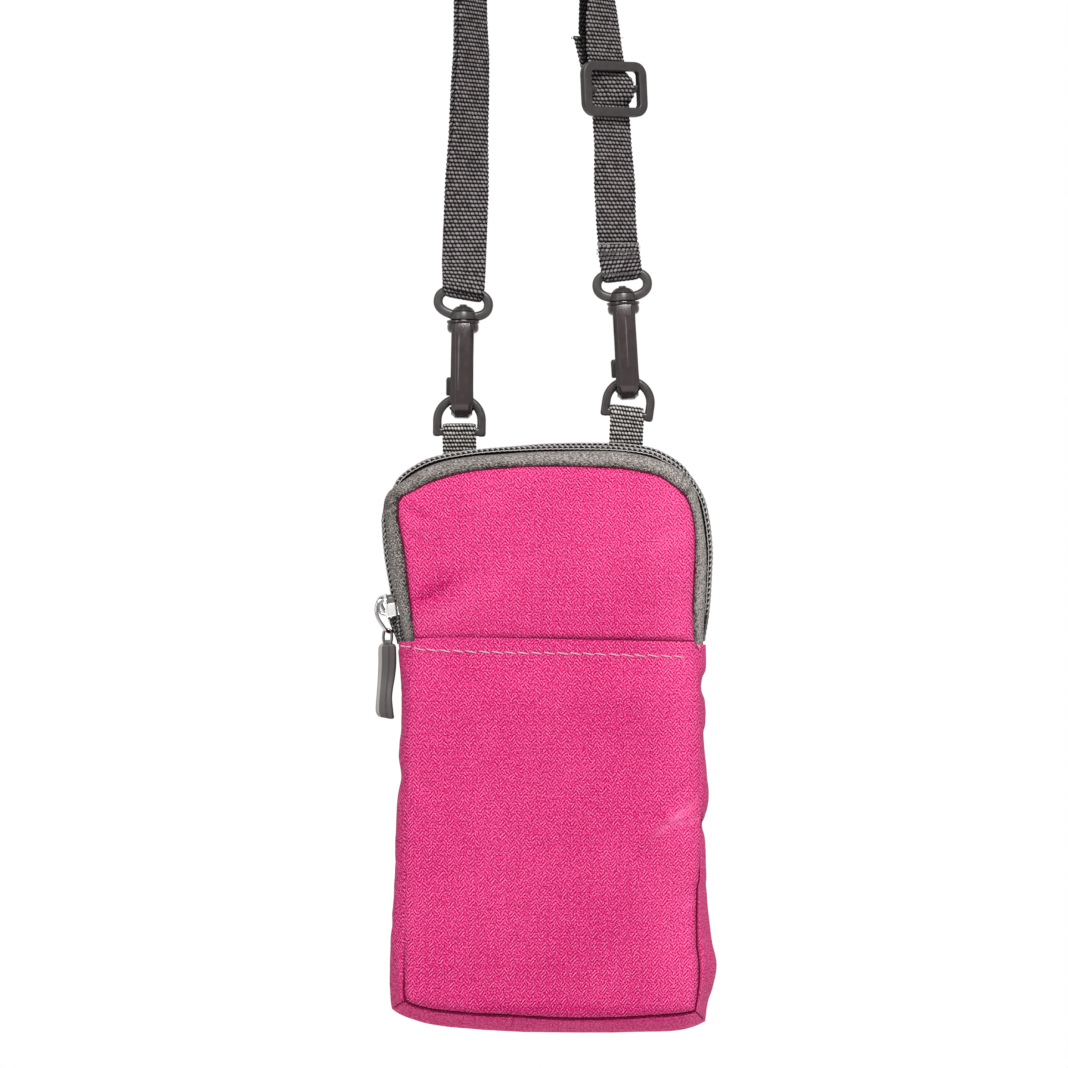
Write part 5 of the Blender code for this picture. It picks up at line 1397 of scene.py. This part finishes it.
def chain(side, ring_at, tilt, ring_turn, d_turn, d_move):
    R = Matrix.Translation(ring_at) @ Matrix.Rotation(math.radians(-tilt), 4, "Y")

    def p(x, y, z):
        return R @ Vector((x * MM, y * MM, z * MM))

    k = -LINK
    c, s_ = math.cos(math.radians(ring_turn)), math.sin(math.radians(ring_turn))
    pts = []
    for i in range(96):
        a = 2 * math.pi * i / 96 + math.pi / 2
        e = 0.84
        x = 7.55 * math.copysign(abs(math.cos(a)) ** e, math.cos(a))
        z = 3.93 * math.copysign(abs(math.sin(a)) ** e, math.sin(a))
        pts.append(tuple(p(x * c + z * s_, 0, -3.93 - x * s_ + z * c)))
    pts = resample(np.array(pts + pts[:1]), 97)[:-1]
    bar = tube("ring", pts, rounded_box(1.38 * MM, 1.30 * MM, 1.0 * MM, 5), [RING], closed=True, up=(0, -1, 0))
    boss = lathe("boss", [(1.6, -6.5), (3.35, -6.5), (3.62, -6.65), (3.8, -7.3), (3.95, -8.3), (3.95, -8.75), (3.6, -8.95), (1.6, -8.95)], R, [RING])
    put(joined(side + "_ring_bar", [bar, boss]), side + "_ring", side + "_swivel_ring", slot="hook_plastic")

    knob = lathe("knob", [(0.3, -4.3), (0.8, -4.32), (1.1, -4.45), (1.2, -4.75), (1.35, -4.85), (2.1, -5.05), (2.8, -5.5), (3.3, -6.05), (3.5, -6.3), (3.3, -6.42), (0.3, -6.44)], R, [RING], sides=9, auto=24)
    collar = lathe("collar", [(1.4, -6.3), (1.4, -9.05), (4.3, -9.1), (4.8, -9.2), (4.9, -9.5), (4.8, -9.95), (4.5, -10.05), (4.6, -10.35), (4.72, -10.8), (4.7, -11.6), (4.45, -12.4), (3.9, -12.85), (0.3, -12.9)], R, [HOOK], auto=32)
    j = [(-5.75, 22.4), (5.2, 22.4), (5.6, 15.5), (5.6, 12.4), (-3.2, 12.4), (-3.5, 10.5), (-3.5, -0.6)]
    j += [(3.5 * math.cos(math.radians(a)), -0.6 + 2.9 * math.sin(math.radians(a))) for a in range(195, 346, 15)]
    j += [(3.5, -0.6), (3.6, 1.9), (6.1, 1.9), (6.2, -0.8)]
    j += [(6.2 * math.cos(math.radians(a)), -0.8 + 4.9 * math.sin(math.radians(a))) for a in range(-15, -166, -15)]
    j += [(-6.2, -0.8), (-6.2, 11.0), (-6.05, 17.0)]
    body = plate("shank", j, 3.36, R @ Matrix.Translation((0, 0, k * MM)) @ SIDEWAYS, [HOOK], bevel=1.15, segments=1, auto=20,
                 taper=lambda x, y: 0.90 + 0.10 * min(1, max(0, (y - 1) / 20.0)) if y > -1.5 else 0.93)
    soften(body, 0.16, 2, 24)
    lift = [tuple(p(-0.5 if side == "left" else 0.9, y, k + z)) for y, z in ((-5.9, 0.6), (-6.2, 2.5), (-6.22, 11.0), (-6.05, 17.0), (-5.85, 19.4))]
    ridge = tube("ridge", lift, np.array([(-1.5, -0.25), (1.5, -0.25), (0.22, 0.24), (0.0, 0.27), (-0.22, 0.24)]) * MM, [HOOK], up=(0, -1, 0), auto=20)
    # painted highlight: a thin lighter tube down the ridge, for a glint
    gx_ = -1.0 if side == "left" else 0.35
    glint = tube("glint", [tuple(p(gx_, y, k + z)) for y, z in ((-6.33, 3.4), (-6.42, 11.0), (-6.25, 17.0), (-6.02, 19.0))], circle(0.15 * MM, 6), [GLINT], up=(0, -1, 0), scale=np.array((0.3, 1.0, 0.9, 0.3)))
    put(joined(side + "_hook_moulding", [knob, collar, body, ridge, glint]), side + "_hook", side + "_hook_body", slot="hook_plastic")

    gp = [(3.7, 2.3), (5.8, 2.3), (5.8, 11.0), (5.2, 11.9), (4.2, 11.9), (3.7, 11.0)]
    gate = plate("gate", gp, 2.7, R @ Matrix.Translation((0, 0, k * MM)) @ SIDEWAYS, [HOOK], bevel=0.45, segments=2)
    out_ = 4.85 if side == "left" else 4.5
    lv = [(-out_, 1.5), (-out_ - 0.05, 6.0), (-out_ + 0.3, 6.7), (-2.0, 6.9), (-2.0, 1.2), (-out_ + 0.35, 1.2)]
    lever = plate("lever", lv, 0.9, R @ Matrix.Translation((0, 4.7 * MM, k * MM)) @ Matrix(((1, 0, 0, 0), (0, 0, 1, 0), (0, 1, 0, 0), (0, 0, 0, 1))), [HOOK], bevel=0.3, segments=2)
    put(joined(side + "_gate_lever", [gate, lever]), side + "_gate", side + "_hook_gate", slot="hook_plastic")

    d = []
    for i in range(41):
        a = math.pi - math.pi * i / 40
        d.append(tuple(p(6.6 * math.cos(a), 0, k - 6.6 + 6.6 * math.sin(a))))
    arc_ = tube("d_arc", np.vstack(([tuple(p(-6.60, 0, k - z)) for z in (11.35, 11.2, 10.85, 10.3, 9.5)], d, [tuple(p(6.60, 0, k - z)) for z in (9.5, 10.3, 10.85, 11.2, 11.35)])), rounded_box(1.30 * MM, 1.25 * MM, 0.95 * MM, 5), [DRING], up=(0, -1, 0),
                scale=np.concatenate(((0.42, 0.74, 0.94, 1, 1), np.ones(len(d)), (1, 1, 0.94, 0.74, 0.42))))
    foot_bar = tube("d_foot", np.array([tuple(p(x, 0, k - 10.0)) for x in np.linspace(-7.2, 7.2, 20)]), rounded_box(1.2 * MM, 1.15 * MM, 0.7 * MM, 4), [DRING], up=(0, -1, 0))
    soften(arc_, 0.3, 3, 60)
    d_bar = joined(side + "_d_bar", [arc_, foot_bar])
    centre = p(0, 0, k - 6.6)
    turn = Matrix.Translation(centre) @ Matrix.Rotation(math.radians(d_turn), 4, "Y") @ Matrix.Translation(-centre)
    turn = Matrix.Translation((d_move[0] * MM, 0, d_move[1] * MM)) @ turn
    d_bar.data.transform(turn)
    put(d_bar, side + "_dring", side + "_d_ring", slot="hook_plastic")
    return turn @ p(0, 0, k - 10.0)


left_foot = chain("left", L_RING, -0.8, 7.0, 0.0, (-0.65, 0.3))
right_foot = chain("right", R_RING, 3.0, -1.0, 11.0, (0.0, 0.0))
tab("left_tab_band", left_foot, 459.8, 458.0, "pouch", "left_webbing_tab", 0.0)
tab("right_tab_band", right_foot, 625.6, 455.0, "pouch", "right_webbing_tab", -7.0)

# ---------------------------------------------------------------- tri-glide
ROLL = math.radians(-1.6)


def gf_(a, n, s_):
    """Frame coordinates, turned a little in its own plane."""
    return g(0.35 + a * math.cos(ROLL) - s_ * math.sin(ROLL), n, -0.3 + a * math.sin(ROLL) + s_ * math.cos(ROLL))


path_g = [tuple(gf_(a, 2.3, s_)) for a, s_ in rounded_box(9.75, 6.85, 2.6, 8)]
path_g = resample(np.array(path_g + path_g[:1]), 121)[:-1]
rim_ = tube("glide_rim", path_g, rounded_box(1.38 * MM, 1.25 * MM, 0.42 * MM, 4), [GLIDE, SHADE], closed=True, up=tuple(gn))
mid_g = gf_(0, 2.3, 0)
# painted shade: faces that look into the frame's opening or to the back take the near-black plastic
for f in rim_.data.polygons:
    inwards = (mid_g - f.center)
    inwards -= gn * inwards.dot(gn)
    if f.normal.dot(inwards.normalized()) > 0.80 or (f.normal.dot(-gn) > 0.5):
        f.material_index = 1
bar_g = tube("glide_bar", spline([tuple(g(*q)) for q in ((-8.4, 2.0, 0), (-8.0, 1.0, 0), (-7.2, -0.4, 0), (-6.2, -1.7, 0), (-5.0, -2.35, 0), (0, -2.35, 0), (8.2, -2.35, 0), (9.3, -2.0, 0), (9.75, -1.0, 0), (9.8, 0.6, 0), (9.8, 2.1, 0))], 0.5 * MM), rounded_box(1.9 * MM, 1.0 * MM, 0.4 * MM, 3), [GLIDE], up=(0, 0, 1))
put(joined("triglide_moulding", [rim_, bar_g]), "triglide", "triglide", slot="hook_plastic")


# ---------------------------------------------------------------- slider, bail and pull
SLIDER_V = 607.5
axis_low, axis_high = at(401.0, 640, ZIP_Y), at(384.5, 525, ZIP_Y)
along = (axis_high - axis_low).normalized()
slider_at = axis_low.lerp(axis_high, (640 - SLIDER_V) / 115.0)
out_x = Vector((along.z, 0, -along.x)) * -1.0
S = Matrix((Vector((0, 1, 0)), out_x, along)).transposed().to_4x4()
S.translation = slider_at + out_x * (0.55 * MM) + along * (0.4 * MM)


def sl(w, n, s_):
    """Slider coordinates in mm: w towards the back, n out of the left side, s up the zip."""
    return S @ Vector((w * MM, n * MM, s_ * MM))


ON_ZIP = S @ Matrix(((1, 0, 0, 0), (0, 0, 1, 0), (0, 1, 0, 0), (0, 0, 0, 1)))
SIDE_ON = S @ Matrix(((0, 0, 1, 0), (1, 0, 0, 0), (0, 1, 0, 0), (0, 0, 0, 1)))


def zip_plate(name, n, half, k):
    face = [(-1.9, -3.4), (-1.3, -3.7), (1.3, -3.7), (1.9, -3.4), (2.5, -2.7), (3.5, 1.0), (3.6, 2.8), (3.1, 3.5), (0.9, 4.1), (-0.9, 4.1), (-3.1, 3.5), (-3.6, 2.8), (-3.5, 1.0), (-2.5, -2.7)]
    return plate(name, [(w * k, s_ * k) for w, s_ in face], half, ON_ZIP @ Matrix.Translation((0, 0, n * MM)), [CHROME], bevel=0.28, segments=3)


def flange(name, w, mat, box_, bevel=0.22, half=0.35):
    n0, n1, s0, s1 = box_
    return plate(name, [(n0, s0), (n1, s0), (n1, s1), (n0, s1)], half, SIDE_ON @ Matrix.Translation((0, 0, w * MM)), [mat], bevel=bevel, segments=3)


slider_parts = [zip_plate("slider_outer", 2.15, 0.5, 1.0), zip_plate("slider_inner", -2.15, 0.45, 0.92)]
for side in (-1, 1):
    slider_parts.append(flange("cheek", side * 3.25, CHROME, (-0.55, 2.3, -2.9, 1.1), 0.3))
    slider_parts.append(flange("cheek_edge", side * 3.35, CHROME, (1.85, 2.75, -2.6, 2.7), 0.2))
    slider_parts.append(flange("cheek_low", side * 3.2, CHROME, (-2.5, -0.85, -2.7, 1.3), 0.2))
    slider_parts.append(flange("window", side * 2.55, GUN, (-0.5, 2.4, 0.9, 3.0), 0.1, 0.25))
bm = bmesh.new()
bmesh.ops.create_cube(bm, size=1.0)
for vtx in bm.verts:
    vtx.co = sl(vtx.co.x * 1.0, vtx.co.y * 4.2, 1.4 + vtx.co.z * 4.6)
me = bpy.data.meshes.new("post")
bm.to_mesh(me)
bm.free()
me.materials.append(GUN)
post = bpy.data.objects.new("post", me)
bpy.context.scene.collection.objects.link(post)
slider_parts.append(post)
slider_parts.append(tube("crown", spline([tuple(sl(*q)) for q in ((0, 2.2, 3.4), (0, 3.6, 3.2), (0, 4.65, 2.3), (0, 4.75, 0.6), (0, 4.6, -0.9), (0, 3.6, -1.8), (0, 2.2, -2.0))], 0.25 * MM), rounded_box(0.95 * MM, 0.42 * MM, 0.3 * MM, 3), [STEEL], up=(-1, 0, 0.1)))
slider = joined("slider_metal", slider_parts)
put(slider, "slider", "slider_body", slot="chrome")

bail_pts = [(386.2, 600.8, -0.9), (383.6, 600.6, -1.9), (380.4, 602.8, -2.3), (378.7, 606.8, -2.5), (378.4, 612.5, -2.6), (379.6, 618.8, -2.6), (381.9, 624.6, -2.5), (385.2, 630.0, -2.1),
            (388.6, 632.6, -0.9), (391.8, 632.6, 0.9), (393.6, 629.6, 2.0), (392.0, 623.6, 2.4), (389.6, 617.0, 2.5), (386.0, 611.0, 2.5), (383.4, 606.0, 2.4), (383.4, 602.4, 2.1), (385.4, 600.6, 1.0)]
bail_line = np.array([tuple(at(u - 2.0 * max(0.0, min(1.0, (628 - v) / 12)), v - 0.8, ZIP_Y + y * MM)) for u, v, y in bail_pts])
bail_line = resample(spline(np.vstack((bail_line[-2:], bail_line, bail_line[:2])), 0.15 * MM), 400)
first = int(np.argmin(np.linalg.norm(bail_line[:120] - np.array(tuple(at(384.2, 600.0, ZIP_Y - 0.9 * MM))), axis=1)))
last = 280 + int(np.argmin(np.linalg.norm(bail_line[280:] - np.array(tuple(at(384.2, 600.0, ZIP_Y - 0.9 * MM))), axis=1)))
bail_line = resample(bail_line[first:last + 1], 141)[:-1]
put(tube("bail_wire", bail_line, circle(0.54 * MM, 16), [STEEL], closed=True, up=(0, -1, 0)), "bail", "pull_bail", slot="chrome")

b_low = at(385.0, 631.5, ZIP_Y)
loops = []
for y, dx in ((-0.55, -0.15), (0.6, 0.25)):
    q = [(386.9, 629.4), (389.4, 629.9), (391.2, 632.2), (391.7, 636.4), (391.2, 641.4), (389.6, 644.6), (387.2, 645.4), (385.0, 644.4), (383.7, 641.0), (383.4, 636.0), (384.2, 631.6)]
    q = np.array([tuple(at(u + dx, v, ZIP_Y + y * MM)) for u, v in q])
    q = resample(spline(np.vstack((q, q[:1])), 0.12 * MM), 81)[:-1]
    loops.append(tube("loop", q, circle(0.36 * MM, 14), [GUN], closed=True, up=(0, -1, 0)))
link = joined("link_loops", loops)
put(link, "pull", "pull_link", slot="gunmetal")

# moulded pull: a soft bar with a raised middle rib and hollow flanks; its left edge is a painted highlight, in lighter
# rubber
left_edge = [(381.6, 643.6), (378.9, 646.4), (378.3, 652), (378.3, 664), (377.6, 680), (376.6, 694), (375.8, 704), (375.7, 711), (377.0, 714.4)]
right_edge = [(392.6, 643.2), (395.6, 645.6), (396.3, 652), (396.4, 664), (395.2, 676), (393.2, 688), (392.2, 698), (393.0, 708), (394.2, 717.6)]
rows_l, rows_r = spline(left_edge, 0.9), spline(right_edge, 0.9)
n_p = 84
rows_l, rows_r = resample(rows_l, n_p), resample(rows_r, n_p)
sect = [(-0.94, 0.0), (-1.0, 0.18), (-1.0, 0.62), (-0.90, 0.88), (-0.74, 0.96), (-0.60, 0.90), (-0.42, 0.86), (-0.24, 0.87), (-0.13, 0.98), (0.0, 1.03), (0.13, 0.98), (0.24, 0.87), (0.45, 0.84), (0.66, 0.90), (0.86, 0.90), (0.97, 0.68), (1.0, 0.18), (0.95, 0.0)]
half_d = 1.55
V = []
for i in range(n_p):
    t = i / (n_p - 1)
    cu, cv = (rows_l[i] + rows_r[i]) / 2
    hu, hv = (rows_r[i] - rows_l[i]) / 2
    thin = (1 - 0.45 * max(0.0, (0.04 - t) / 0.04)) * (1 - 0.35 * max(0.0, (t - 0.95) / 0.05) ** 2)
    deep = half_d * thin * (1.0 + 0.12 * math.sin(t * 9.0 + 0.6))
    bow = 0.35 * math.sin(t * 4.6) * MM
    around = [(a, -b) for a, b in sect] + [(a, b) for a, b in sect[::-1][1:-1]]
    for a, b in around:
        V.append(at(cu + hu * a, cv + hv * a, ZIP_Y + bow + b * deep * MM))
    m_p = len(around)
V = np.array([tuple(p) for p in V]).reshape(n_p, m_p, 3)
mid_end = at(386.2, 719.2, ZIP_Y)
caps = []
for lift, k in ((0.0, 1.0), (0.45, 0.86), (0.62, 0.55)):
    c = V[-1].mean(0)
    ring_ = c + (V[-1] - c) * np.array((k, k, k)) + np.array((0, 0, -lift * MM))
    caps.append(ring_)
V = np.concatenate((V[:-1], np.stack(caps)))
n_q = len(V)
i = np.arange(n_q * m_p).reshape(n_q, m_p)
j = np.roll(i, -1, 1)
F = [tuple(f) for f in np.stack((i[:-1], j[:-1], j[1:], i[1:]), -1).reshape(-1, 4)] + [tuple(i[0]), tuple(i[-1])]
rubber = tidy(build("pull_moulding", V.reshape(-1, 3), F, [RUBBER, RUBBER_EDGE]))
# painted highlight: front and side faces along the left fifth of the pull take the lighter rubber
for f in rubber.data.polygons:
    near_ = EYE / (EYE + f.center.y) / UNIT
    v_ = 534.0 - (f.center.z + (534.0 - TOP_V) * UNIT + ARCH) * near_
    u_ = 534.0 + (f.center.x - (534.0 - 535.5) * UNIT) * near_
    l_, r_ = np.interp(v_, rows_l[:, 1], rows_l[:, 0]), np.interp(v_, rows_r[:, 1], rows_r[:, 0])
    if u_ < l_ + 0.20 * (r_ - l_) and f.normal.y < 0.2:
        f.material_index = 1
sharp(rubber, 62)
nib = plate("nib", [(-1.15, -1.3), (1.25, -1.3), (1.15, 0.35), (0.7, 0.8), (-0.6, 0.8), (-1.1, 0.3)], 0.85, Matrix.Translation(at(387.6, 642.6, ZIP_Y)) @ Matrix.Rotation(math.pi / 2, 4, "X"), [RUBBER], bevel=0.3, segments=2)
put(joined("pull_moulding", [rubber, nib]), "pull", "pull_tab", slot="pull_rubber")


# ---------------------------------------------------------------- sewing
def stitches(name, line, y_of, pitch, dash, radius, mat, lift, slant=0.0, jitter=0.0, sink=0.9):
    """Single threads that come out, lie on the cloth for a dash and go in again."""
    q = spline(line, 0.25)
    s = np.concatenate(([0], np.cumsum(np.linalg.norm(np.diff(q, axis=0), axis=1))))
    out = []
    n = int(s[-1] / pitch)
    for i in range(n):
        a = i * pitch + rng.uniform(-jitter, jitter)
        w = np.linspace(a, a + dash, 11)
        w = w[(w >= 0) & (w <= s[-1])]
        if len(w) < 6:
            continue
        uv = np.stack([np.interp(w, s, q[:, k]) for k in (0, 1)], -1)
        t = np.linspace(0, 1, len(w))
        uv[:, 1] += (t - 0.5) * slant + rng.uniform(-0.25, 0.25)
        y = y_of(uv) - lift * MM * np.sin(np.pi * t) ** 0.45 + sink * radius * (1 - np.sin(np.pi * t) ** 0.5) * 2.2
        out.append(tube(name, at_n(uv[:, 0], uv[:, 1], y), circle(radius, 8), [mat], up=(0, -1, 0), scale=0.7 + 0.3 * np.sin(np.pi * t) ** 0.5))
    return out


hem = [(413.2, 648.6), (440, 650.6), (484, 652.3), (520, 653.0), (562, 653.6), (606, 654.6), (650, 655.9), (697, 657.2)]
lip_uv = spline([(414.5, 637.6), (440, 638.6), (484, 639.4), (540, 639.8), (600, 640.4), (650, 641.0), (694, 641.2)], 0.8)
lip_n = np.arange(len(lip_uv)) * 0.8
lip_path = at_n(lip_uv[:, 0], lip_uv[:, 1] + 0.25 * hash_noise(lip_n / 9, lip_n * 0, 81), up_y(lip_uv) - 0.28 * MM)
# painted shade: a dark tube just behind the pocket's lip
put(tube("pocket_edge_shade", lip_path, circle(0.34 * MM, 8), [EDGE_SHADE], up=(0, -1, 0), scale=np.clip(0.85 + 0.4 * hash_noise(lip_n / 13, lip_n * 0, 82), 0.4, 1.4)), "pouch")
sewn = stitches("hem_stitch", hem, low_y, 13.0, 12.4, 0.235 * MM, STITCH, 0.20, slant=2.0, jitter=0.4)
sewn += stitches("hem_stitch", [(697.5, 644.6), (703.5, 651.8)], lambda P: np.full(len(P), seam_y(648.0) - 0.3 * MM), 5.2, 4.4, 0.21 * MM, STITCH, 0.25)
sewn += stitches("hem_stitch", [(400.8, 645.4), (407.0, 646.6), (412.5, 647.0)], lambda P: np.full(len(P), seam_y(646.0) - 0.9 * MM), 5.6, 5.0, 0.21 * MM, STITCH, 0.25)
put(joined("pocket_sewing", sewn), "pouch")

# ---------------------------------------------------------------- belt loop on the back, with its bartacks
cx = at(553, 600, Y(14)).x
z_top, z_low = at(553, 560, Y(14)).z, at(553, 810, Y(14)).z
y0 = Y(13.5) + 0.95 * MM
y1 = y0 + 5.2 * MM
prof = [(y0, z_top), (y0, z_top - 4 * MM), (y0 + 0.05 * MM, z_top - 8 * MM), (y0 + 2.4 * MM, z_top - 12.5 * MM), (y1 - 0.5 * MM, z_top - 17 * MM), (y1, z_top - 24 * MM), (y1 + 0.1 * MM, (z_top + z_low) / 2), (y1, z_low + 24 * MM), (y1 - 0.5 * MM, z_low + 17 * MM), (y0 + 2.4 * MM, z_low + 12.5 * MM), (y0 + 0.05 * MM, z_low + 8 * MM), (y0, z_low + 4 * MM), (y0, z_low)]
C4, W4, s4 = fine([(Vector((cx, y, z)), Vector((1, 0, 0))) for y, z in prof], 0.35 * MM)
loop_band = webbing("belt_loop_band", C4, W4, s4, 40.0 * MM, 1.2 * MM, LOOPWEB, 1.4 * MM, 1.6 * MM, across=56)
lp = [loop_band]
for z in (z_top - 2.2 * MM, z_top - 6.2 * MM, z_low + 2.2 * MM, z_low + 6.2 * MM):
    zig = [(cx + (k / 60 - 0.5) * 37 * MM, y0 + 0.78 * MM, z + (0.8 if k % 2 else -0.8) * MM) for k in range(61)]
    lp.append(tube("bartack", np.array(zig), circle(0.22 * MM, 6), [STRAP_THREAD], up=(0, 1, 0)))
put(joined("belt_loop_band", lp), "pouch", "belt_loop", slot="strap")

# ---------------------------------------------------------------- zip ends
for name, node, u in (("zip_end_left", "zip_stop_left", 408.5), ("zip_end_right", "zip_stop_right", 700.5)):
    end = plate(name, [(-1.1, -2.0), (1.1, -2.0), (1.1, 1.2), (-1.1, 1.2)], 1.6, Matrix.Translation(at(u, 650.0, ZIP_Y)) @ Matrix.Rotation(math.pi / 2, 4, "X"), [TAPE], bevel=0.3)
    put(end, "pouch", node, slot="grey_tape")


# ---------------------------------------------------------------- camera, light, floor
scene = bpy.context.scene
scene.view_settings.view_transform = "Standard"
scene.view_settings.look = "None"
scene.view_settings.exposure = 0.0
scene.view_settings.gamma = 1.0

cam_data = bpy.data.cameras.new("camera")
cam_data.sensor_width = 36.0
cam_data.lens = 36.0 * EYE / (1068 * UNIT)
cam_data.clip_start = 0.05
cam_data.clip_end = 20
cam = bpy.data.objects.new("camera", cam_data)
cam.location = ((534.0 - 535.5) * UNIT, -EYE, -(534.0 - TOP_V) * UNIT - ARCH)
cam.rotation_euler = (math.pi / 2, 0, 0)
scene.collection.objects.link(cam)
scene.camera = cam

world = bpy.data.worlds.new("studio")
world.use_nodes = True
world.node_tree.nodes["Background"].inputs["Color"].default_value = (1, 1, 1, 1)
world.node_tree.nodes["Background"].inputs["Strength"].default_value = 1.0
scene.world = world


def lamp(name, where, aim, size, power, color=(1, 1, 1)):
    d = bpy.data.lights.new(name, "AREA")
    d.shape = "RECTANGLE"
    d.size, d.size_y = size
    d.energy = power
    d.color = color
    o = bpy.data.objects.new(name, d)
    o.location = where
    o.rotation_euler = (Vector(aim) - Vector(where)).to_track_quat("-Z", "Y").to_euler()
    scene.collection.objects.link(o)
    return o


AIM = (0.0, 0.0, -0.24)
lamp("key", (0.20, -1.40, 0.95), AIM, (0.8, 0.6), 66)
lamp("fill", (-1.2, -1.2, 0.25), AIM, (0.5, 1.2), 10)

floor_look = Look("pale_floor", (0.90, 0.90, 0.90), 0.85)
floor_look.color(floor_look.mix(floor_look.noise(floor_look.coords(), 3.0, 2), (0.885, 0.885, 0.885), (0.915, 0.915, 0.915)))
bpy.ops.mesh.primitive_plane_add(size=1, location=(0, 0.7, -0.72))
floor = bpy.context.object
floor.name = "floor"
floor.scale = (3.6, 3.6, 1)
floor.data.materials.append(floor_look.m)
